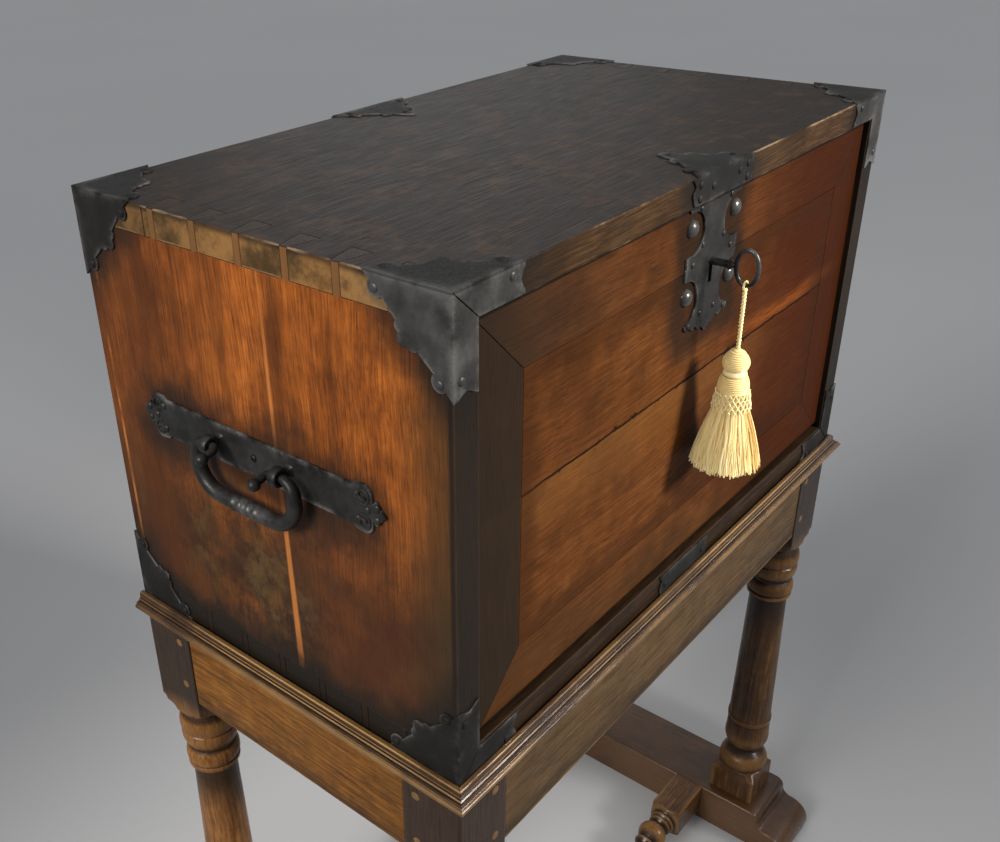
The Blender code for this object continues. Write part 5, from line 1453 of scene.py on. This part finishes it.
BOW_HIGH = 0.0175
BOW_DEEP = 0.0114
BOW_WIRE = 0.0022
BOW_SIDES = 14
SHAFT_SIDES = 18
SHAFT_RADIUS = 0.0038
SHAFT = (                        # along from the bow, radius as a share of the shaft's
    (-0.001, 0.5), (0.002, 0.62), (0.004, 0.85), (0.0048, 0.95), (0.0052, 1.3), (0.0062, 1.42), (0.0072, 1.3),
    (0.0076, 1.0), (0.009, 1.0), (0.02, 1.0), (0.04, 1.0))
BIT_HALF = 0.00275
BIT_END = 0.0003                 # from the shaft's end to the bit
BIT_DEEP = 0.0065
BIT_LONG = 0.0218
key_low, key_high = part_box("key")
bow_middle = Vector((0.0, key_low.y + BOW_DEEP + BOW_WIRE, plate_high.z - KEY_DOWN))
key_iron = iron_finish("key_iron", 160.0, 1.3, polish=0.10)


def build_key():
    turn = np.linspace(-0.1, 2 * pi + 0.1, 68)
    oval = points_at(0.0, bow_middle.y + BOW_DEEP * np.cos(turn), bow_middle.z + BOW_HIGH * np.sin(turn))
    bow = swept(oval, BOW_WIRE, BOW_SIDES, (1, 0, 0))[1:-1]
    start = bow_middle.y + BOW_DEEP
    length = key_high.y - start
    run, thick = np.array([*SHAFT, (length - 0.0005, 1.0), (length, 0.85)]).T
    shaft = swept(points_at(0.0, start + run, bow_middle.z), SHAFT_RADIUS * thick, SHAFT_SIDES, (1, 0, 0))
    y, z = key_high.y - BIT_END, bow_middle.z
    bit = np.array([[(x, y, z), (x, y, z - BIT_LONG), (x, y - BIT_DEEP, z - BIT_LONG), (x, y - BIT_DEEP, z)]
                    for x in (-BIT_HALF, BIT_HALF)])
    points = np.concatenate([part.reshape(-1, 3) for part in (bow, shaft, bit)])
    bow_end = len(bow) * BOW_SIDES
    shaft_end = bow_end + len(run) * SHAFT_SIDES
    faces = grid_faces(len(bow), BOW_SIDES, True) + tube_faces(len(run), SHAFT_SIDES, bow_end)
    faces += tube_faces(2, 4, shaft_end)
    key = add_piece("iron_key", points, faces, "key", key_iron)
    set_attribute(key, "wear", np.where(np.arange(len(points)) < bow_end, 0.35, 0.2))
    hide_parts("key")


build_key()


# Tassel: cream silk on a two-ply cord looped round the key's bow. Thread is wound on a wooden ball and collar with
# a band of floss between them; below, a net is knotted over the head of a thick fringe.

SILK_LIGHT = (0.97, 0.86, 0.49)
SILK = (0.90, 0.71, 0.30)
SILK_GOLD = (0.47, 0.23, 0.045)
SILK_SHEEN = (1.0, 0.86, 0.55, 1.0)
PLY_RADIUS = 0.0015
PLY_OFF = 0.0008
PLY_PITCH = 0.0075
LOOP_RADIUS = 0.0040
LOOP_WIRE = 0.0012
HEAD_BALL = 0.0130
THREAD_PITCH = 0.0019            # of the winding
NET_THREADS = 20
NET_DEEP = 0.019
STRANDS = 950
STRAND_RADIUS = 0.00064
cord_low, cord_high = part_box("tassel_cord")
head_low, head_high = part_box("tassel_head")
skirt_low, skirt_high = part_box("tassel_skirt")
hang = np.array([0.0, (cord_low.y + cord_high.y) / 2])
collar = 0.46 * (head_high.x - head_low.x)


def silk_finish(name):
    """Floss silk: the tone that each thread carries, from gold through cream to the lightest."""
    thread = Finish(name)
    thread.colour = thread.ramp(thread.attribute("tone"), (0.0, 0.45, 1.0), (SILK_GOLD, SILK, SILK_LIGHT))
    return thread.done({"Roughness": 0.42, "Sheen Weight": 0.4, "Sheen Roughness": 0.4, "Sheen Tint": SILK_SHEEN})


silk = silk_finish("silk")


def silk_piece(name, points, tone, faces=None):
    """A piece of the tassel with the tone of its thread; a closed skin of rings unless its faces are given."""
    faces = faces or tube_faces(*points.shape[:2])
    item = add_piece(name, points, faces, "tassel", silk, 1.2)
    set_attribute(item, "tone", np.broadcast_to(tone, points.shape[:-1]).ravel())
    return item


def about(radius, turn, z):
    """Points at a radius and turn about the tassel's axis."""
    return points_at(hang[0] + radius * np.cos(turn), hang[1] + radius * np.sin(turn), z)


def cord_skin(heights):
    """Two plies laid up together: a section of two circles side by side that turns with the height."""
    turn = np.arange(24) * 2 * pi / 24
    ply = turn - 2 * pi * heights[:, None] / PLY_PITCH
    radius = PLY_OFF * np.abs(np.cos(ply)) + np.sqrt(PLY_RADIUS ** 2 - (PLY_OFF * np.sin(ply)) ** 2)
    # Painted shade: the tone is darker in the crease between the plies and lighter on their crests.
    return about(radius, turn, heights[:, None]), 0.3 + 0.5 * np.abs(np.cos(ply))


def head_skin():
    """The ball, band and collar: the turned head with a ridge for each turn of thread, smooth on the band."""
    ball = HEAD_BALL
    unit = (head_high.z - head_low.z) / 10
    outline = turning((cord_high.x - cord_low.x) / 2, head_high.z, [
        (0.6 * unit, 0.55 * ball, 0), (4.4 * unit, 0.8 * ball, 0.34 * ball), (0.8 * unit, 0.88 * ball, 0),
        (4.2 * unit, collar, 0.14 * ball)])
    z = np.linspace(head_high.z, head_low.z, 150)
    radius = np.interp(-z, -outline[:, 1], outline[:, 0])
    turn = np.arange(56) * 2 * pi / 56
    off = (np.abs(z - (head_high.z - 5.4 * unit)) / unit)[:, None]
    band = np.exp(-(off / 0.5) ** 6)
    groove = np.exp(-((off - 0.68) / 0.14) ** 2)
    ridge = np.abs(np.sin(pi * z[:, None] / THREAD_PITCH + 0.5 * turn))
    rise = 0.0011 * (ridge - 0.6) * (1 - band) + 0.0008 * band - 0.0012 * groove
    skin = about(radius[:, None] + rise, turn, z[:, None])
    # Painted shade: the tone is darker between the turns of thread and in the groove by the band, and lighter on the
    # crests.
    return skin, np.clip(0.10 + 0.55 * ridge * (1 - band) + 0.9 * band - 0.3 * groove, 0, 1)


def skirt_radius(z):
    """The skirt's radius at a height: straight under the collar, then flaring to its foot."""
    share = (skirt_high.z - np.asarray(z)) / (skirt_high.z - skirt_low.z)
    return np.interp(share, [0, 0.22, 0.45, 0.72, 1.0], np.array([1.05, 1.24, 1.70, 2.12, 2.48]) * collar)


def fringe():
    """Strands that follow the skirt at their own depth, wander a little and end unevenly."""
    source = np.random.default_rng(12)
    turn = (np.arange(STRANDS) + source.uniform(-0.5, 0.5, STRANDS)) * 2 * pi / STRANDS * 5.0
    depth = source.uniform(0.88, 1.0, STRANDS)
    fall = np.linspace(0, 1, 9)
    length = (skirt_high.z - skirt_low.z) * source.uniform(0.93, 1.0, STRANDS)
    z = skirt_high.z - length[:, None] * fall
    sway = source.normal(0, 0.055, STRANDS)[:, None] * fall ** 2
    sway = sway + 0.03 * np.sin(3 * pi * fall + source.uniform(0, 6, STRANDS)[:, None])
    radius = skirt_radius(z) * depth[:, None] - 2 * STRAND_RADIUS
    middle = about(radius, turn[:, None] + sway, z)
    side = np.arange(5) * 2 * pi / 5
    thick = STRAND_RADIUS * (1.15 - 0.35 * fall)[None, :, None]
    out = side + (turn[:, None] + sway)[..., None]
    points = middle[:, :, None] + points_at(thick * np.cos(out), thick * np.sin(out), 0.0)
    golden = np.exp(-((np.mod(turn, 2 * pi) - 4.75) / 0.4) ** 2) * source.uniform(0, 1, STRANDS)
    tone = source.normal(0.52, 0.30, STRANDS) - 1.1 * golden
    return points, np.clip(tone[:, None, None] + 0.3 * fall[:, None] ** 2, 0, 1)


def net():
    """Threads that wind down over the fringe's head both ways and cross in diamonds."""
    down = np.linspace(0, 1, 16)
    z = skirt_high.z + 0.0015 - NET_DEEP * down
    start = np.arange(NET_THREADS) * 2 * pi / NET_THREADS
    tubes = []
    for way in (-1, 1):
        for first in start:
            lift = 0.0006 + 0.0005 * way * np.cos(down * 4 * pi)
            line = about(skirt_radius(np.minimum(z, skirt_high.z)) + lift, first + way * down * 2 * pi / 9, z)
            tubes.append(swept(line, 0.00080, 6, (0.2, 0.1, 1.0)))
    return np.array(tubes)


def build_tassel():
    heights = np.linspace(cord_high.z, cord_low.z, 150)
    cord = silk_piece("silk_cord", *cord_skin(heights))

    turn = np.linspace(-0.1, 2 * pi + 0.1, 52)
    wire = bow_middle.z - BOW_HIGH
    ring = points_at(hang[0] + LOOP_RADIUS * np.cos(turn), hang[1], wire + LOOP_RADIUS * np.sin(turn))
    loop = silk_piece("silk_loop", swept(ring, LOOP_WIRE, 10, (0, 1, 0))[1:-1], 0.5, grid_faces(50, 10, True))

    head = silk_piece("silk_head", *head_skin())
    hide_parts("tassel_head")

    z = np.linspace(skirt_high.z, skirt_low.z + 0.006, 24)
    turn = np.arange(64) * 2 * pi / 64
    rib = 0.0005 * np.cos(32 * turn)
    silk_piece("silk_core", about(0.88 * skirt_radius(z)[:, None] + rib, turn, z[:, None]), 0.55)
    points, tone = fringe()
    strands = silk_piece("silk_fringe", points, tone, many_tubes(points))
    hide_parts("tassel_skirt")
    threads = net()
    silk_piece("silk_net", threads, 0.75, many_tubes(threads))

    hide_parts("tassel_cord")


build_tassel()
